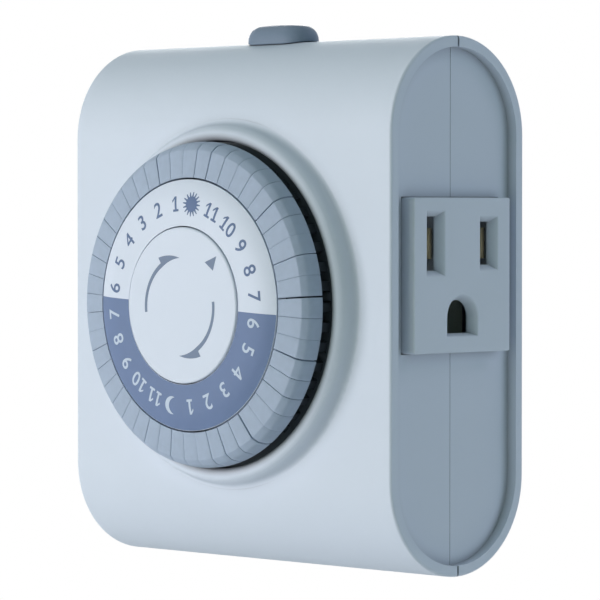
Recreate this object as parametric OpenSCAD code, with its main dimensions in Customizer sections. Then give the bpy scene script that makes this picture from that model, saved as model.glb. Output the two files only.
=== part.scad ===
// Plug-in timer switch with a ring of half-hour tappets.
// The origin is on the wall face of the rear shell, at mid width and mid height.
// +X is to the right seen from the front, +Y goes into the wall and +Z is up.

/* [Housing] */
// Width across the two side rims
body_w = 74.5; // [72:0.5:90]
// Height over the two round ends
body_h = 87.4; // [86:0.2:110]
// Depth from the wall face to the front face; both ends are full rounds of it
body_d = 31.8; // [31:0.2:38]
// Moulded wall thickness
wall = 2; // [1.6:0.1:2.2]
// Depth of the side panels below their rims
side_recess = 1.8; // [1:0.1:2.4]
// Width of the rim round a side panel
rim_w = 1.8; // [1.2:0.1:2.4]
// Fillet along the outer edges of the rims
edge_fillet = 0.5; // [0.3:0.1:0.9]
// Gap between the two shells at the seam
seam_gap = 0.1; // [0.05:0.05:0.2]
// Wider gap between the shells where the seam crosses the rims
rim_gap = 0.4; // [0.25:0.05:0.6]
// Height of the locating lip inside the seam
lip_h = 1.6; // [1:0.1:2.4]
// Thickness of the locating lip
lip_t = 0.8; // [0.6:0.1:1.2]

/* [Dial well] */
// Gap between the tappets and the wall of the well
well_gap = 0.7; // [0.4:0.1:1]
// Depth of the well below the front face
well_depth = 5.8; // [5.7:0.1:6.4]
// Thickness of the well's floor
floor_t = 1.4; // [1.2:0.1:1.6]
// Thickness of the well's side wall
well_wall = 1.2; // [1:0.1:1.6]
// Height of the bezel's crest above the front face
crest_h = 3.8; // [3:0.1:4.2]
// Radius of the bezel's rounded crest
crest_r = 0.9; // [0.6:0.1:1.1]
// Width of the bezel from the well to its outer foot
foot_w = 2.9; // [2.7:0.1:3.4]
// Radius of the hollow fillet at the bezel's foot
foot_fillet = 0.9; // [0.5:0.1:1.2]
// Radius of the fixed post that the dial turns on
post_r = 4; // [3.6:0.1:4.4]

/* [Dial] */
// Turn of the dial at rest, clockwise from noon straight up
dial_turn = 11.1; // [0:0.1:360]
// Radius of the printed face
face_r = 20.6; // [20.3:0.1:20.8]
// Height of the printed face's edge above the front face
face_edge_h = 8.85; // [8.6:0.05:9.2]
// Height of the printed face's flat middle above the front face
face_crown_h = 10.05; // [9.9:0.05:10.4]
// Radius at which the printed face starts to curve down
face_flat_r = 16; // [15:0.1:17.5]
// Thickness of the printed face at its edge
face_t = 2.1; // [1.6:0.1:2.4]
// Radius of the fixed hub cap
hub_r = 12.8; // [12:0.1:13.4]
// Height of the hub cap's top above the front face
hub_h = 10.35; // [10.2:0.05:10.8]
// Thickness of the hub cap
hub_t = 1.2; // [1:0.1:1.4]
// Radius of the hub cap's stem
hub_stem_r = 2.6; // [2.2:0.1:2.8]
// Thickness of the carrier's slotted flange
flange_t = 4.5; // [4:0.1:4.7]
// Width of the ring gear's teeth
gear_w = 2.4; // [2:0.1:2.6]
// Running clearance between the carrier and its post
bearing_gap = 0.05; // [0.02:0.01:0.08]
// Running clearance between turning parts and what they pass
run_gap = 0.2; // [0.15:0.05:0.25]

/* [Tappets] */
// Number of tappets, two for each hour
tappet_count = 48; // [48:48:48]
// Outer radius of the tappet ring
tappet_r = 26.8; // [26.6:0.1:26.9]
// Height of a tappet's inner edge above the front face
tappet_h = 8.8; // [8.6:0.1:9.2]
// Width of a tappet's sloping shoulder
shoulder_w = 1.35; // [1.2:0.05:1.6]
// Drop from the inner edge to the shoulder
shoulder_drop = 0.6; // [0.3:0.02:0.8]
// Height of the shoulder above the upright side
shoulder_h = 2.5; // [1.6:0.1:2.8]
// Bevel along the top of the shoulder
shoulder_bevel = 0.95; // [0.5:0.05:1.1]
// How far a tappet pushes in
tappet_travel = 3; // [2:0.1:3.1]
// Gap between neighbouring tappets at the middle of the ring
tappet_gap = 0.2; // [0.12:0.02:0.3]
// Radial depth of a tappet's stem
stem_depth = 2.8; // [2:0.1:3.2]
// Width of a tappet's stem
stem_w = 1.5; // [1.2:0.05:1.7]
// Clearance round a stem in its slot
stem_gap = 0.12; // [0.08:0.01:0.16]

/* [Gears] */
// Module of every gear
gear_module = 0.5; // [0.5:0.01:0.52]
// Teeth on the dial's ring gear
dial_teeth = 54; // [50:1:54]
// Teeth on the drive pinion
pinion_teeth = 12; // [12:1:14]
// Teeth on the transfer wheel
wheel_teeth = 40; // [36:1:40]
// Teeth on the motor pinion
motor_teeth = 12; // [12:1:14]
// Thickness of the transfer wheel
wheel_t = 2; // [1.6:0.1:2.4]
// Play between meshing teeth
backlash = 0.12; // [0.08:0.01:0.16]
// Radius of the drive pinion's journal in the well's floor
journal_r = 2; // [1.8:0.1:2.1]
// Radius of the shaft ends
shaft_r = 1.2; // [1:0.05:1.3]

/* [Motor] */
// Radius of the motor can
motor_r = 13.6; // [12:0.1:13.8]
// Depth of the motor can
motor_t = 9.6; // [8:0.1:10]
// Thickness of the motor's cover
motor_cover_t = 1; // [0.8:0.1:1.2]
// Direction from the transfer shaft to the motor shaft, anticlockwise from +X
motor_angle = 200; // [196:1:204]
// Thickness of the gear plate
plate_t = 1.2; // [1:0.1:1.4]
// Clear space between the well's floor and the gear plate
plate_stand = 7; // [6.6:0.1:7.4]

/* [Switch] */
// Place of the follower's nose, clockwise from the top, before it is put between two stems
nose_angle = 307.5; // [307.5:7.5:315]
// Width of the follower's nose across its tip
nose_w = 0.7; // [0.5:0.1:0.8]
// Distance of the follower's pivot from the side wall of the cavity
pivot_inset = 3.45; // [3.3:0.05:3.8]
// Distance of the follower's pad from its nose
pad_reach = 3.1; // [2.8:0.1:3.4]
// Width of the follower lever
lever_w = 5; // [4:0.1:6]
// Thickness of the follower lever
lever_t = 2; // [1.6:0.1:2.2]
// Radius of the follower's pivot pin
pivot_r = 1; // [0.8:0.05:1.2]
// Distance of the leaf's root from the back of the socket contacts
leaf_root_inset = 8.7; // [8.2:0.1:9.2]
// Thickness of the leaf contact
leaf_t = 0.3; // [0.2:0.05:0.4]
// Open gap between the contact rivets
contact_gap = 2.6; // [2.6:0.1:3]
// Radius of the contact rivets
rivet_r = 1.6; // [1.2:0.1:2]
// Height of a contact rivet's head
rivet_h = 1.2; // [1:0.1:1.4]

/* [Override] */
// Length of the override knob
knob_l = 13.7; // [12:0.1:15]
// Width of the override knob
knob_w = 7.5; // [6.5:0.1:8.5]
// Height of the override knob above the top of the housing
knob_h = 3; // [2.4:0.1:3.6]
// Distance of the knob's two settings from the middle
knob_throw = 2.6; // [2:0.1:2.8]
// Width of the knob's stem
knob_stem_w = 2.6; // [2.2:0.1:3.4]
// Length of the knob's stem
knob_stem_l = 2; // [1.6:0.1:3]
// Depth of the override switch's base below the inside of the top
override_drop = 6.6; // [6.4:0.1:7.4]
// Thickness of the override switch's base
override_t = 3.4; // [3:0.1:4]
// Width of the override switch's base from front to back
override_w = 10; // [8:0.2:11]
// Distance between the ribs that hold the base
rib_span = 20.4; // [20:0.1:21]
// Thickness of those ribs
rib_t = 1.2; // [1:0.1:1.6]

/* [Outlet] */
// Width of the receptacle insert
insert_w = 23; // [22.6:0.1:23.4]
// Height of the receptacle insert
insert_h = 25; // [24.6:0.1:25.6]
// Height of the insert's middle above the housing's middle
insert_z = 5.1; // [4.6:0.1:5.6]
// How far the insert stands out of the side panel
insert_proud = 2.8; // [2.4:0.1:3.2]
// Wall thickness of the insert
insert_t = 1.6; // [1.4:0.1:1.8]
// Radius of the rounded edges of the insert's face
insert_edge = 0.3; // [0.1:0.05:0.5]
// Length of the insert from its face to its open back
insert_l = 8.4; // [7.8:0.1:9]
// Height of the slots' centre line above the housing's middle
slot_z = 10.2; // [9.9:0.1:10.5]
// Distance between the centre lines of hot and neutral
blade_pitch = 12.7; // [12.7:0.1:12.8]
// Distance from the blades' centre line down to the ground pin
ground_drop = 11.9; // [11.9:0.1:12]
// Inner width of the two slots
slot_w = 2.6; // [2.2:0.1:2.8]
// Inner height of the hot slot
hot_slot_h = 7; // [6.8:0.1:7.2]
// Inner height of the neutral slot
neutral_slot_h = 8.7; // [8.2:0.1:8.8]
// Inner width of the ground opening
ground_w = 5.6; // [5.4:0.1:5.8]
// Drop from the middle of the ground opening to its flat side
ground_flat = 2.6; // [2.6:0.05:2.7]
// Bore radius of the ground contact
ground_bore_r = 2.45; // [2.42:0.01:2.5]
// Thickness of the contact strip
strip_t = 0.6; // [0.5:0.05:0.7]
// Thickness of the insert's face
insert_face_t = 1.8; // [1.6:0.1:2]
// Widening of each opening at the face, on each side
funnel_w = 0.9; // [0.6:0.05:0.95]
// Depth of that widening
funnel_d = 1.35; // [1.1:0.05:1.4]
// Width of the insert's collar behind the side panel
collar_w = 1; // [0.8:0.1:1.2]
// Thickness of that collar
collar_t = 1.5; // [1.2:0.1:1.8]
// Height of the blade clips
clip_h = 5; // [4.4:0.1:5.6]
// Half width of the blade clips
clip_half = 1.7; // [1.5:0.05:1.8]
// Length of the blade clips
clip_l = 15; // [14.5:0.1:15.4]
// Length of the ground sleeve
sleeve_l = 11; // [10:0.1:12]
// Gap between the well's floor and the neutral clip
clip_floor_gap = 0.65; // [0.6:0.05:0.9]

/* [Plug] */
// Height of the blades' centre line above the housing's middle
plug_z = 16; // [15.4:0.1:16.4]
// Width of a plug blade
blade_w = 6.35; // [6.2:0.05:6.5]
// Thickness of a plug blade
blade_t = 1.5; // [1.4:0.05:1.6]
// Length of a plug blade outside the housing
blade_l = 17.5; // [16:0.5:18.5]
// Radius of the hole near a blade's tip
blade_hole_r = 1.6; // [1.4:0.1:1.8]
// Radius of the ground pin
ground_r = 2.38; // [2.35:0.01:2.4]
// Length of the ground pin outside the housing
ground_l = 20.6; // [19.5:0.5:21.5]
// Length of the ground pin's rounded tip
ground_tip_l = 1.9; // [1.6:0.1:2.2]
// Depth of the plug carrier behind the rear wall
carrier_d = 6; // [5:0.1:6.4]
// Height of the plug carrier above its blades and below its pin
carrier_margin = 2.2; // [1.8:0.1:2.6]
// Width of the plug carrier beside its blades
carrier_side = 3.9; // [3.4:0.1:4.4]

/* [Screws] */
// Distance of the housing screws from the middle, sideways
screw_x = 29.4; // [28.6:0.1:29.6]
// Distance of the housing screws from the middle, up and down
screw_z = 29; // [28:0.1:30]
// Radius of the screw bosses
boss_r = 3.3; // [3:0.1:3.5]
// Radius of a screw's shank
shank_r = 1.35; // [1.2:0.05:1.5]
// Radius of a screw's head
head_r = 2.6; // [2.4:0.1:2.7]
// Height of a screw's head
head_h = 1.8; // [1.6:0.1:2]
// Depth of the counterbores for the heads
head_depth = 3.6; // [3.2:0.1:4]
// Grip of the screws in front of the seam
screw_grip = 11; // [9:0.5:11]
// Radius of the gear plate's pillars
pillar_r = 2.4; // [2.2:0.1:2.6]
// Radius of the gear plate's screws
plate_screw_r = 1.1; // [1:0.05:1.2]
// Radius of their heads
plate_head_r = 2; // [1.9:0.1:2.2]
// Height of their heads
plate_head_h = 1.3; // [1:0.1:1.6]
// Grip of the gear plate's screws in the pillars
plate_screw_grip = 4; // [3:0.5:5]

/* [Hidden] */
$fn = 72;
eps = 0.01;
clear = 0.1;
slip = 0.3;

// Housing
mid_y = -body_d / 2;
cavity_w = body_w - 2 * (side_recess + wall);
cavity_d = body_d - 2 * wall;
cavity_h = body_h - 2 * wall;
panel_x = body_w / 2 - side_recess;
inner_x = panel_x - wall;
floor_back_y = -body_d + well_depth + floor_t;

// Dial stack, as heights in front of the front face
floor_h = -well_depth;
gear_back_h = floor_h + slip;
flange_back_h = gear_back_h + gear_w;
flange_front_h = flange_back_h + flange_t;
face_back_h = face_edge_h - face_t;
hub_back_h = hub_h - hub_t;
hub_stem_l = 8;
pad_back_h = flange_front_h + tappet_travel + slip;
stem_back_h = floor_h + run_gap + tappet_travel;
tappet_in_r = face_r + run_gap + clear;
tappet_deg = 360 / tappet_count;
stem_mid_r = (tappet_in_r + tappet_r) / 2;
gap_deg = tappet_gap / stem_mid_r * 180 / PI;
shoulder_r = tappet_r - shoulder_w;
well_r = tappet_r + well_gap;
foot_r = well_r + foot_w;
sleeve_t = 1.6;
drum_t = 1.4;
drum_gap = 0.4;
drum_inset = 1.2;
rib_count = 6;
rib_w = 1.2;
rib_drop = 2;
crown_fn = 360;
hub_edge = 0.35;

// Gear train
pressure_angle = 25;
addendum = 0.9;
dedendum = 1.15;
dial_gear_r = dial_teeth * gear_module / 2;
pinion_gear_r = pinion_teeth * gear_module / 2;
wheel_gear_r = wheel_teeth * gear_module / 2;
motor_gear_r = motor_teeth * gear_module / 2;
transfer_axis = [0, -(dial_gear_r + pinion_gear_r)];
motor_axis = transfer_axis + (wheel_gear_r + motor_gear_r) * [cos(motor_angle), sin(motor_angle)];
wheel_gap = 1;
plate_y = floor_back_y + plate_stand;
wheel_y = plate_y - wheel_gap - wheel_t;
motor_y = plate_y + plate_t;
pinion_front_h = flange_back_h - run_gap;
pillars = [[15.5, -13.5], [-23, -4.5], [2, -32.6]];
plate_margin = 0.8;
motor_shaft_l = 3;
can_t = 0.8;
coil_bore_r = 6.1;
spoke_holes = 6;
spoke_hole_r = 1.6;
spoke_hole_at = 6;

// Outlet
face_x = panel_x + insert_proud;
outlet_y = floor_back_y + clip_floor_gap + clip_half + blade_pitch / 2;
neutral_y = outlet_y - blade_pitch / 2;
hot_y = outlet_y + blade_pitch / 2;
ground_z = slot_z - ground_drop;
clip_seat = 0.86 * clip_half;
clip_pinch = clip_half / 2;
clip_lip = 0.8 * clip_half;
clip_flare = 2.6;
clip_rise = 8;
mouth_gap = 0.7;
contact_mouth_x = face_x - insert_face_t - mouth_gap;
contact_back_x = contact_mouth_x - clip_l;
sleeve_slit = 0.8;
sleeve_clear = 2;
insert_rib_t = 0.8;
insert_corner = 0.6;
block_l = 4.8;
block_margin = 0.4;
block_foot = 1;
block_head = 1.9;
block_x = face_x - insert_l - clear - block_l;

// Follower and switch
lever_hub_t = 1.1;
lever_gap = 0.5;
lever_thin = 0.8;
pin_fit = 0.02;
leaf_rise = 1.5;
rivet_at = 6;
rivet_back = 0.7;
pad_r = 0.7;
nose_l = 2.2;
nose_taper = 2;
nose_slot = [3.4, 4];
lug_t = 1.6;
lug_w = 4.2;
nose_clock = nose_angle + dial_turn % tappet_deg;
nose_at = stem_mid_r * [sin(nose_clock), cos(nose_clock)];
nose_tip_h = flange_back_h - slip;
pivot_at = [pivot_inset - cavity_w / 2, floor_back_y + pivot_r + lever_hub_t + lever_gap];
pad_x = nose_at[0] + pad_reach;
leaf_y = pivot_at[1] + leaf_rise;
leaf_root_x = contact_back_x - leaf_root_inset;
leaf_root_r = 0.5;
leaf_tail = 1;
leaf_rivet_x = pad_x + rivet_at;
fixed_rivet_y = leaf_y + leaf_t + rivet_h + contact_gap;
line_y = fixed_rivet_y + rivet_back;
tab_gap = 0.7;
tab_l = 2.2;
hot_bend = [3, 1];
pad_gap = 0.05;

// Plug
plug_ground_z = plug_z - ground_drop;
ground_stub_r = ground_r - 0.25;
ground_tip_r = 3;
pin_end_l = 0.4;
carrier_y = -wall - carrier_d;
strap_w = 4;
strap_half = 3;
blade_end_l = 2.4;
blade_end_y = carrier_y - blade_end_l;
blade_hole_back = 5.2;
blade_chamfer = [1.6, 1.2];
blade_taper = [1.4, 0.45];
bus_w = 4;
bus_drop = 0.7;
bus_z = slot_z - clip_h / 2 - bus_w - bus_drop;
line_bend = 5;

// Override switch
knob_lift = 0.15;
knob_back_z = body_h / 2 + knob_lift;
knob_at = [-knob_throw, mid_y];
knob_flange_w = 1.4;
knob_flange_t = 1.2;
knob_flange_drop = 2;
knob_flange_z = body_h / 2 - wall - knob_flange_drop;
override_z = body_h / 2 - wall - override_drop;
pad_t = 0.5;
pad_w = 3.2;
pad_top_z = override_z + pad_t;
bridge_drop = 0.8;
bridge_l = 9;
bridge_w = 2.4;
bridge_dimple_r = 0.8;
knob_foot_z = pad_top_z + pad_gap + bridge_drop + strip_t - eps;
pad_leg_x = 8;
pad_leg_w = 2;
pad_out_x = 3.4;
pad_in_x = 1;
jumper_z = nose_at[1] + lever_w / 2 + pad_gap;
jumper_rise = 2;
jumper_h = 2.5;

function tappet_name(hour) = str("tappets_", hour < 10 ? "0" : "", hour);

// Points of an involute gear with a tooth centred on the direction phase
function involute(r, base_r) = r <= base_r ? 0 :
    let (a = acos(base_r / r)) tan(a) * 180 / PI - a;
function flank(r, pitch_r, play) =
    let (base_r = pitch_r * cos(pressure_angle))
    (gear_module * PI / 2 - play) / 2 / pitch_r * 180 / PI
        + involute(pitch_r, base_r) - involute(r, base_r);
function gear_points(teeth, phase) =
    let (pitch_r = teeth * gear_module / 2,
         root_r = pitch_r - dedendum * gear_module,
         tip_r = pitch_r + addendum * gear_module,
         radii = [for (i = [0 : 3]) root_r + (tip_r - root_r) * i / 3])
    [for (t = [0 : teeth - 1])
        for (side = [-1, 1])
            for (i = [0 : 3])
                let (r = radii[side < 0 ? i : 3 - i],
                     a = phase + t * 360 / teeth + side * flank(r, pitch_r, backlash / 2))
                r * [cos(a), sin(a)]];

// Outline of a bent strip of thickness t that follows a path
function unit(v) = v / norm(v);
function normal(v) = [-v[1], v[0]];
function miter(path, i, t) =
    let (last = len(path) - 1,
         a = unit(i == 0 ? path[1] - path[0] : path[i] - path[i - 1]),
         b = i == last ? a : unit(path[i + 1] - path[i]),
         m = unit(normal(a) + normal(b)))
    path[i] + m * (t / 2) / (m * normal(a));
function ribbon(path, t) = concat(
    [for (i = [0 : len(path) - 1]) miter(path, i, t)],
    [for (i = [len(path) - 1 : -1 : 0]) miter(path, i, -t)]);

// A strip bent in the XY plane, of height w about the level z
module strip(path, t, w, z) {
    translate([0, 0, z - w / 2]) linear_extrude(height = w) polygon(ribbon(path, t));
}

// A cylinder along Y from y0 up to y1, about the point at = [x, z]
module rod(r, y0, y1, at = [0, 0]) {
    translate([at[0], y1, at[1]]) rotate([90, 0, 0]) cylinder(r = r, h = y1 - y0);
}

// A box between two corners
module block(low, high) {
    translate(low) cube(high - low);
}

// The dial's own frame: Z is the height in front of the front face, about the dial's axis
module dial_frame() {
    translate([0, -body_d, 0]) rotate([90, 0, 0]) children();
}

// A wedge of a ring, of so many degrees, centred on the clockwise angle clock
module sector(clock, degrees, points) {
    rotate([0, 0, 90 - clock - degrees / 2]) rotate_extrude(angle = degrees) polygon(points);
}

module rounded_rect(w, d, r) {
    square([w - 2 * r, d], center = true);
    square([w, d - 2 * r], center = true);
    for (x = [-1, 1]) for (y = [-1, 1])
        translate([x * (w / 2 - r), y * (d / 2 - r)]) circle(r = r);
}

// The housing's form: flat front and back, full round ends, filleted side edges
module pod(w, d, h, r) {
    translate([0, mid_y, 0]) {
        linear_extrude(height = h - d, center = true) rounded_rect(w, d, r);
        for (s = [0, 1]) mirror([0, 0, s]) translate([0, 0, (h - d) / 2])
            rotate([0, 90, 0]) rotate([0, 0, 90]) rotate_extrude(angle = 180)
                intersection() {
                    rounded_rect(d, w, r);
                    translate([0, -w]) square([d, 2 * w]);
                }
    }
}

// An upright slab with round ends, d deep and h high, from x0 to x1
module side_slab(d, h, x0, x1) {
    translate([x0, mid_y, 0]) rotate([90, 0, 90]) linear_extrude(height = x1 - x0) {
        square([d, h - d], center = true);
        for (s = [-1, 1]) translate([0, s * (h - d) / 2]) circle(d = d);
    }
}

// Half of the space, in front of the seam or behind it
module front_half(extra = 0) {
    block([-body_w, -2 * body_d, -body_h], [body_w, mid_y - seam_gap / 2 + extra, body_h]);
}

module rear_half() {
    block([-body_w, mid_y + seam_gap / 2, -body_h], [body_w, body_d, body_h]);
}

module side_recesses() {
    for (s = [0, 1]) mirror([s, 0, 0])
        side_slab(body_d - 2 * rim_w, body_h - 2 * rim_w, panel_x, body_w / 2 + 1);
}

// The slits that the seam leaves in the rims
module rim_slits() {
    for (s = [0, 1]) mirror([s, 0, 0])
        block([panel_x, mid_y - rim_gap / 2, -body_h], [body_w, mid_y + rim_gap / 2, body_h]);
}

// The middle of the housing's wall, where bosses and ribs end
module wall_middle() {
    pod(cavity_w + wall, body_d - wall, body_h - wall, edge_fillet);
}

// The window for the receptacle insert in the right side panel
module insert_window(extra) {
    block([inner_x - wall - 1, mid_y - insert_w / 2 - extra, insert_z - insert_h / 2 - extra],
          [panel_x + 1, mid_y + insert_w / 2 + extra, insert_z + insert_h / 2 + extra]);
}

// The slot for the override knob's stem in the top
module knob_slot(extra) {
    l = knob_stem_l + 2 * knob_throw + 2 * slip + 2 * extra;
    w = knob_stem_w + 2 * slip + 2 * extra;
    block([-l / 2, mid_y - w / 2, knob_flange_z], [l / 2, mid_y + w / 2, body_h / 2 + 1]);
}

module screw_places() {
    for (x = [-1, 1]) for (z = [-1, 1]) translate([x * screw_x, 0, z * screw_z]) children();
}

// Outline of the raised ring, the well's wall, its floor and the fixed post, turned as one
module well_outline() {
    crest_at = [well_r + crest_r, crest_h - crest_r];
    slope = [cos(15), sin(15)];
    fillet_at = [foot_r, foot_fillet];
    translate(crest_at) circle(r = crest_r);
    difference() {
        polygon([[well_r, floor_h], [well_r + well_wall, floor_h], [well_r + well_wall, -wall / 2],
                 [foot_r, -wall / 2], [foot_r, 0], fillet_at - foot_fillet * slope,
                 crest_at + crest_r * slope, crest_at, [well_r, crest_at[1]]]);
        translate(fillet_at) circle(r = foot_fillet);
    }
    translate([0, floor_h - floor_t]) square([well_r + well_wall, floor_t]);
    translate([0, floor_h - eps]) square([post_r, hub_back_h - run_gap - floor_h]);
}

// One of the two lugs that hold the follower's pin
module follower_lug(side) {
    z = nose_at[1] + side * (lever_w / 2 + run_gap + lug_t / 2);
    block([pivot_at[0] - lug_w / 2, -body_d + wall / 2, z - lug_t / 2],
          [pivot_at[0] + lug_w / 2, pivot_at[1] + lug_w / 2, z + lug_t / 2]);
}

module front_housing() color([0.82, 0.87, 0.92]) {
    difference() {
        union() {
            difference() {
                intersection() {
                    pod(body_w, body_d, body_h, edge_fillet);
                    front_half();
                }
                pod(cavity_w, cavity_d, cavity_h, edge_fillet);
                side_recesses();
                rim_slits();
                dial_frame() translate([0, 0, -wall - 1]) cylinder(r = well_r + well_wall / 2, h = wall + 2);
            }
            dial_frame() rotate_extrude() well_outline();
            intersection() {
                union() {
                    screw_places() rod(boss_r, -body_d, mid_y - seam_gap / 2);
                    rod(pillar_r, -body_d, plate_y, pillars[2]);
                    for (s = [-1, 1]) {
                        follower_lug(s);
                        override_rib(s);
                    }
                }
                wall_middle();
            }
            for (i = [0, 1]) rod(pillar_r, floor_back_y - floor_t / 2, plate_y, pillars[i]);
        }
        insert_window(clear);
        knob_slot(0);
        screw_places() rod(shank_r + clear / 2, mid_y - screw_grip, mid_y);
        for (p = pillars) rod(plate_screw_r + clear / 2, plate_y - plate_screw_grip, plate_y + 1, p);
        translate([pivot_at[0], pivot_at[1], nose_at[1] - 2 * lever_w])
            cylinder(r = pivot_r + pin_fit, h = 4 * lever_w);
        rod(journal_r + bearing_gap, floor_back_y - floor_t - 1, floor_back_y + 1, transfer_axis);
        dial_frame() translate([0, 0, hub_back_h - hub_stem_l - 1])
            cylinder(r = hub_stem_r + clear / 2, h = hub_stem_l + 2);
        dial_frame() rotate([0, 0, -nose_clock]) translate([0, stem_mid_r, floor_h - floor_t / 2])
            cube([nose_slot[0], nose_slot[1], floor_t + 1], center = true);
    }
}

module rear_housing() color([0.80, 0.85, 0.90]) {
    difference() {
        union() {
            difference() {
                intersection() {
                    pod(body_w, body_d, body_h, edge_fillet);
                    rear_half();
                }
                pod(cavity_w, cavity_d, cavity_h, edge_fillet);
                side_recesses();
                rim_slits();
            }
            seam_lip();
            intersection() {
                screw_places() rod(boss_r, mid_y + seam_gap / 2, 0);
                wall_middle();
            }
        }
        insert_window(clear);
        knob_slot(0);
        screw_places() {
            rod(shank_r + clear, mid_y - 1, 1);
            rod(head_r + clear, -head_depth, 1);
        }
        for (x = [-1, 1]) translate([x * blade_pitch / 2, -wall / 2, plug_z])
            cube([blade_t + 2 * clear, wall + 1, blade_w + 2 * clear], center = true);
        rod(ground_r + clear, -wall - 1, 1, [0, plug_ground_z]);
    }
}

// The lip inside the rear shell that centres the front shell on the seam
module seam_lip() {
    difference() {
        intersection() {
            pod(cavity_w + wall, cavity_d + wall, cavity_h + wall, edge_fillet);
            block([-body_w, mid_y - lip_h, -body_h], [body_w, mid_y + lip_h, body_h]);
        }
        pod(cavity_w - 2 * (clear + lip_t), cavity_d - 2 * (clear + lip_t),
            cavity_h - 2 * (clear + lip_t), edge_fillet);
        difference() {
            front_half(seam_gap);
            pod(cavity_w - 2 * clear, cavity_d - 2 * clear, cavity_h - 2 * clear, edge_fillet);
        }
        insert_window(collar_w + 2 * clear);
        knob_slot(knob_flange_w);
        screw_places() rod(boss_r + clear, mid_y - lip_h - 1, mid_y + seam_gap / 2);
    }
}

// Four screws that hold the shells together, put in from the wall face
module housing_screws() color([0.72, 0.73, 0.75]) {
    screw_places() screw(head_r, head_h, shank_r, -head_depth, screw_grip - head_depth - mid_y - 1);
}

// A pan-head screw whose head sits in front of seat_y and whose shank runs on to -Y
module screw(head, height, shank, seat_y, length) {
    difference() {
        union() {
            rod(head, seat_y, seat_y + height);
            rod(shank, seat_y - length, seat_y + eps);
        }
        for (a = [0, 90])
            translate([0, seat_y + height, 0]) rotate([0, a, 0])
                cube([head * 1.1, height, head * 0.28], center = true);
    }
}

// A pocket that narrows from one rectangle to another over its depth, along -X
module funnel(w0, h0, w1, h1, depth) {
    intersection() {
        translate([0, 0, -h0]) linear_extrude(height = 2 * h0)
            polygon([[eps, w0 / 2], [eps, -w0 / 2], [-depth, -w1 / 2], [-depth, w1 / 2]]);
        translate([0, w0, 0]) rotate([90, 0, 0]) linear_extrude(height = 2 * w0)
            polygon([[eps, h0 / 2], [eps, -h0 / 2], [-depth, -h1 / 2], [-depth, h1 / 2]]);
    }
}

// Outline of the ground opening, widened all round: an arch above, flat below
module ground_outline(widen = 0) {
    w = ground_w + 2 * widen;
    drop = ground_flat + widen / 2;
    intersection() {
        circle(d = w);
        translate([-w / 2, 0]) square([w, w / 2]);
    }
    translate([-w / 2, -drop]) square([w, drop + eps]);
}

// The insert's collar behind the side panel
module insert_collar() {
    half_w = insert_w / 2 + collar_w;
    half_h = insert_h / 2 + collar_w;
    back = inner_x - clear;
    block([back - collar_t, mid_y - half_w, insert_z - half_h], [back, mid_y + half_w, insert_z + half_h]);
}

// One of the two ribs inside the insert that stand beside the ground sleeve
module insert_rib(side) {
    foot_z = ground_z + ground_bore_r + sleeve_clear;
    y = outlet_y + side * (ground_bore_r + strip_t + clear + insert_rib_t / 2);
    translate([face_x - insert_l, y - insert_rib_t / 2, foot_z])
        cube([insert_l, insert_rib_t, insert_z + insert_h / 2 - foot_z]);
}

// A blade slot through the insert's face, wider at the front
module blade_slot(y, h) {
    translate([face_x, y, slot_z]) {
        cube([2 * insert_face_t + 2, slot_w, h], center = true);
        funnel(slot_w + 2 * funnel_w, h + 2 * funnel_w, slot_w, h, funnel_d);
    }
}

// The ground opening through the insert's face, wider at the front
module ground_slot() {
    translate([face_x, outlet_y, ground_z]) rotate([90, 0, 90]) {
        translate([0, 0, -insert_face_t - 1]) linear_extrude(height = insert_face_t + 2) ground_outline();
        hull() {
            translate([0, 0, -funnel_d]) linear_extrude(height = eps) ground_outline($fn = 32);
            linear_extrude(height = eps) ground_outline(funnel_w, $fn = 32);
        }
    }
}

// The insert's outer form, rounded along the edges of its face
module insert_form() {
    intersection() {
        translate([face_x - insert_l, mid_y, insert_z]) rotate([90, 0, 90])
            linear_extrude(height = insert_l) rounded_rect(insert_w, insert_h, insert_corner);
        translate([face_x - insert_l, mid_y, insert_z - insert_h])
            linear_extrude(height = 2 * insert_h) rounded_rect(2 * insert_l, insert_w, insert_edge);
        translate([face_x - insert_l, mid_y + insert_w, insert_z]) rotate([90, 0, 0])
            linear_extrude(height = 2 * insert_w) rounded_rect(2 * insert_l, insert_h, insert_edge);
    }
}

module receptacle_insert() color([0.68, 0.74, 0.79]) {
    difference() {
        union() {
            insert_form();
            insert_collar();
        }
        difference() {
            translate([face_x - insert_l - 1, mid_y, insert_z]) rotate([90, 0, 90])
                linear_extrude(height = insert_l + 1 - insert_face_t)
                    rounded_rect(insert_w - 2 * insert_t, insert_h - 2 * insert_t, insert_corner);
            for (s = [-1, 1]) insert_rib(s);
        }
        blade_slot(neutral_y, neutral_slot_h);
        blade_slot(hot_y, hot_slot_h);
        ground_slot();
    }
}

// Insulating block behind the insert, with a pocket for each socket contact
module contact_block() color([0.55, 0.57, 0.58]) {
    sleeve_r = ground_bore_r + strip_t;
    difference() {
        block([block_x, neutral_y - clip_half - block_margin, ground_z - sleeve_r - block_foot],
              [block_x + block_l, hot_y + clip_half + 3 * block_margin, slot_z + clip_h / 2 + block_head]);
        for (y = [neutral_y, hot_y])
            translate([block_x + block_l / 2, y, slot_z])
                cube([2 * block_l, 2 * (clip_half + clear), clip_h + 2 * clear], center = true);
        translate([block_x - 1, outlet_y, ground_z]) rotate([0, 90, 0])
            cylinder(r = sleeve_r + clear / 2, h = 2 * block_l);
    }
}

// Path of one leaf of a blade clip, from the closed back to the flared mouth
function clip_leaf(y, side) =
    [[contact_back_x, y + side * clip_seat], [contact_back_x + clip_rise, y + side * clip_seat],
     [contact_mouth_x - clip_flare, y + side * clip_pinch], [contact_mouth_x, y + side * clip_lip]];

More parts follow.
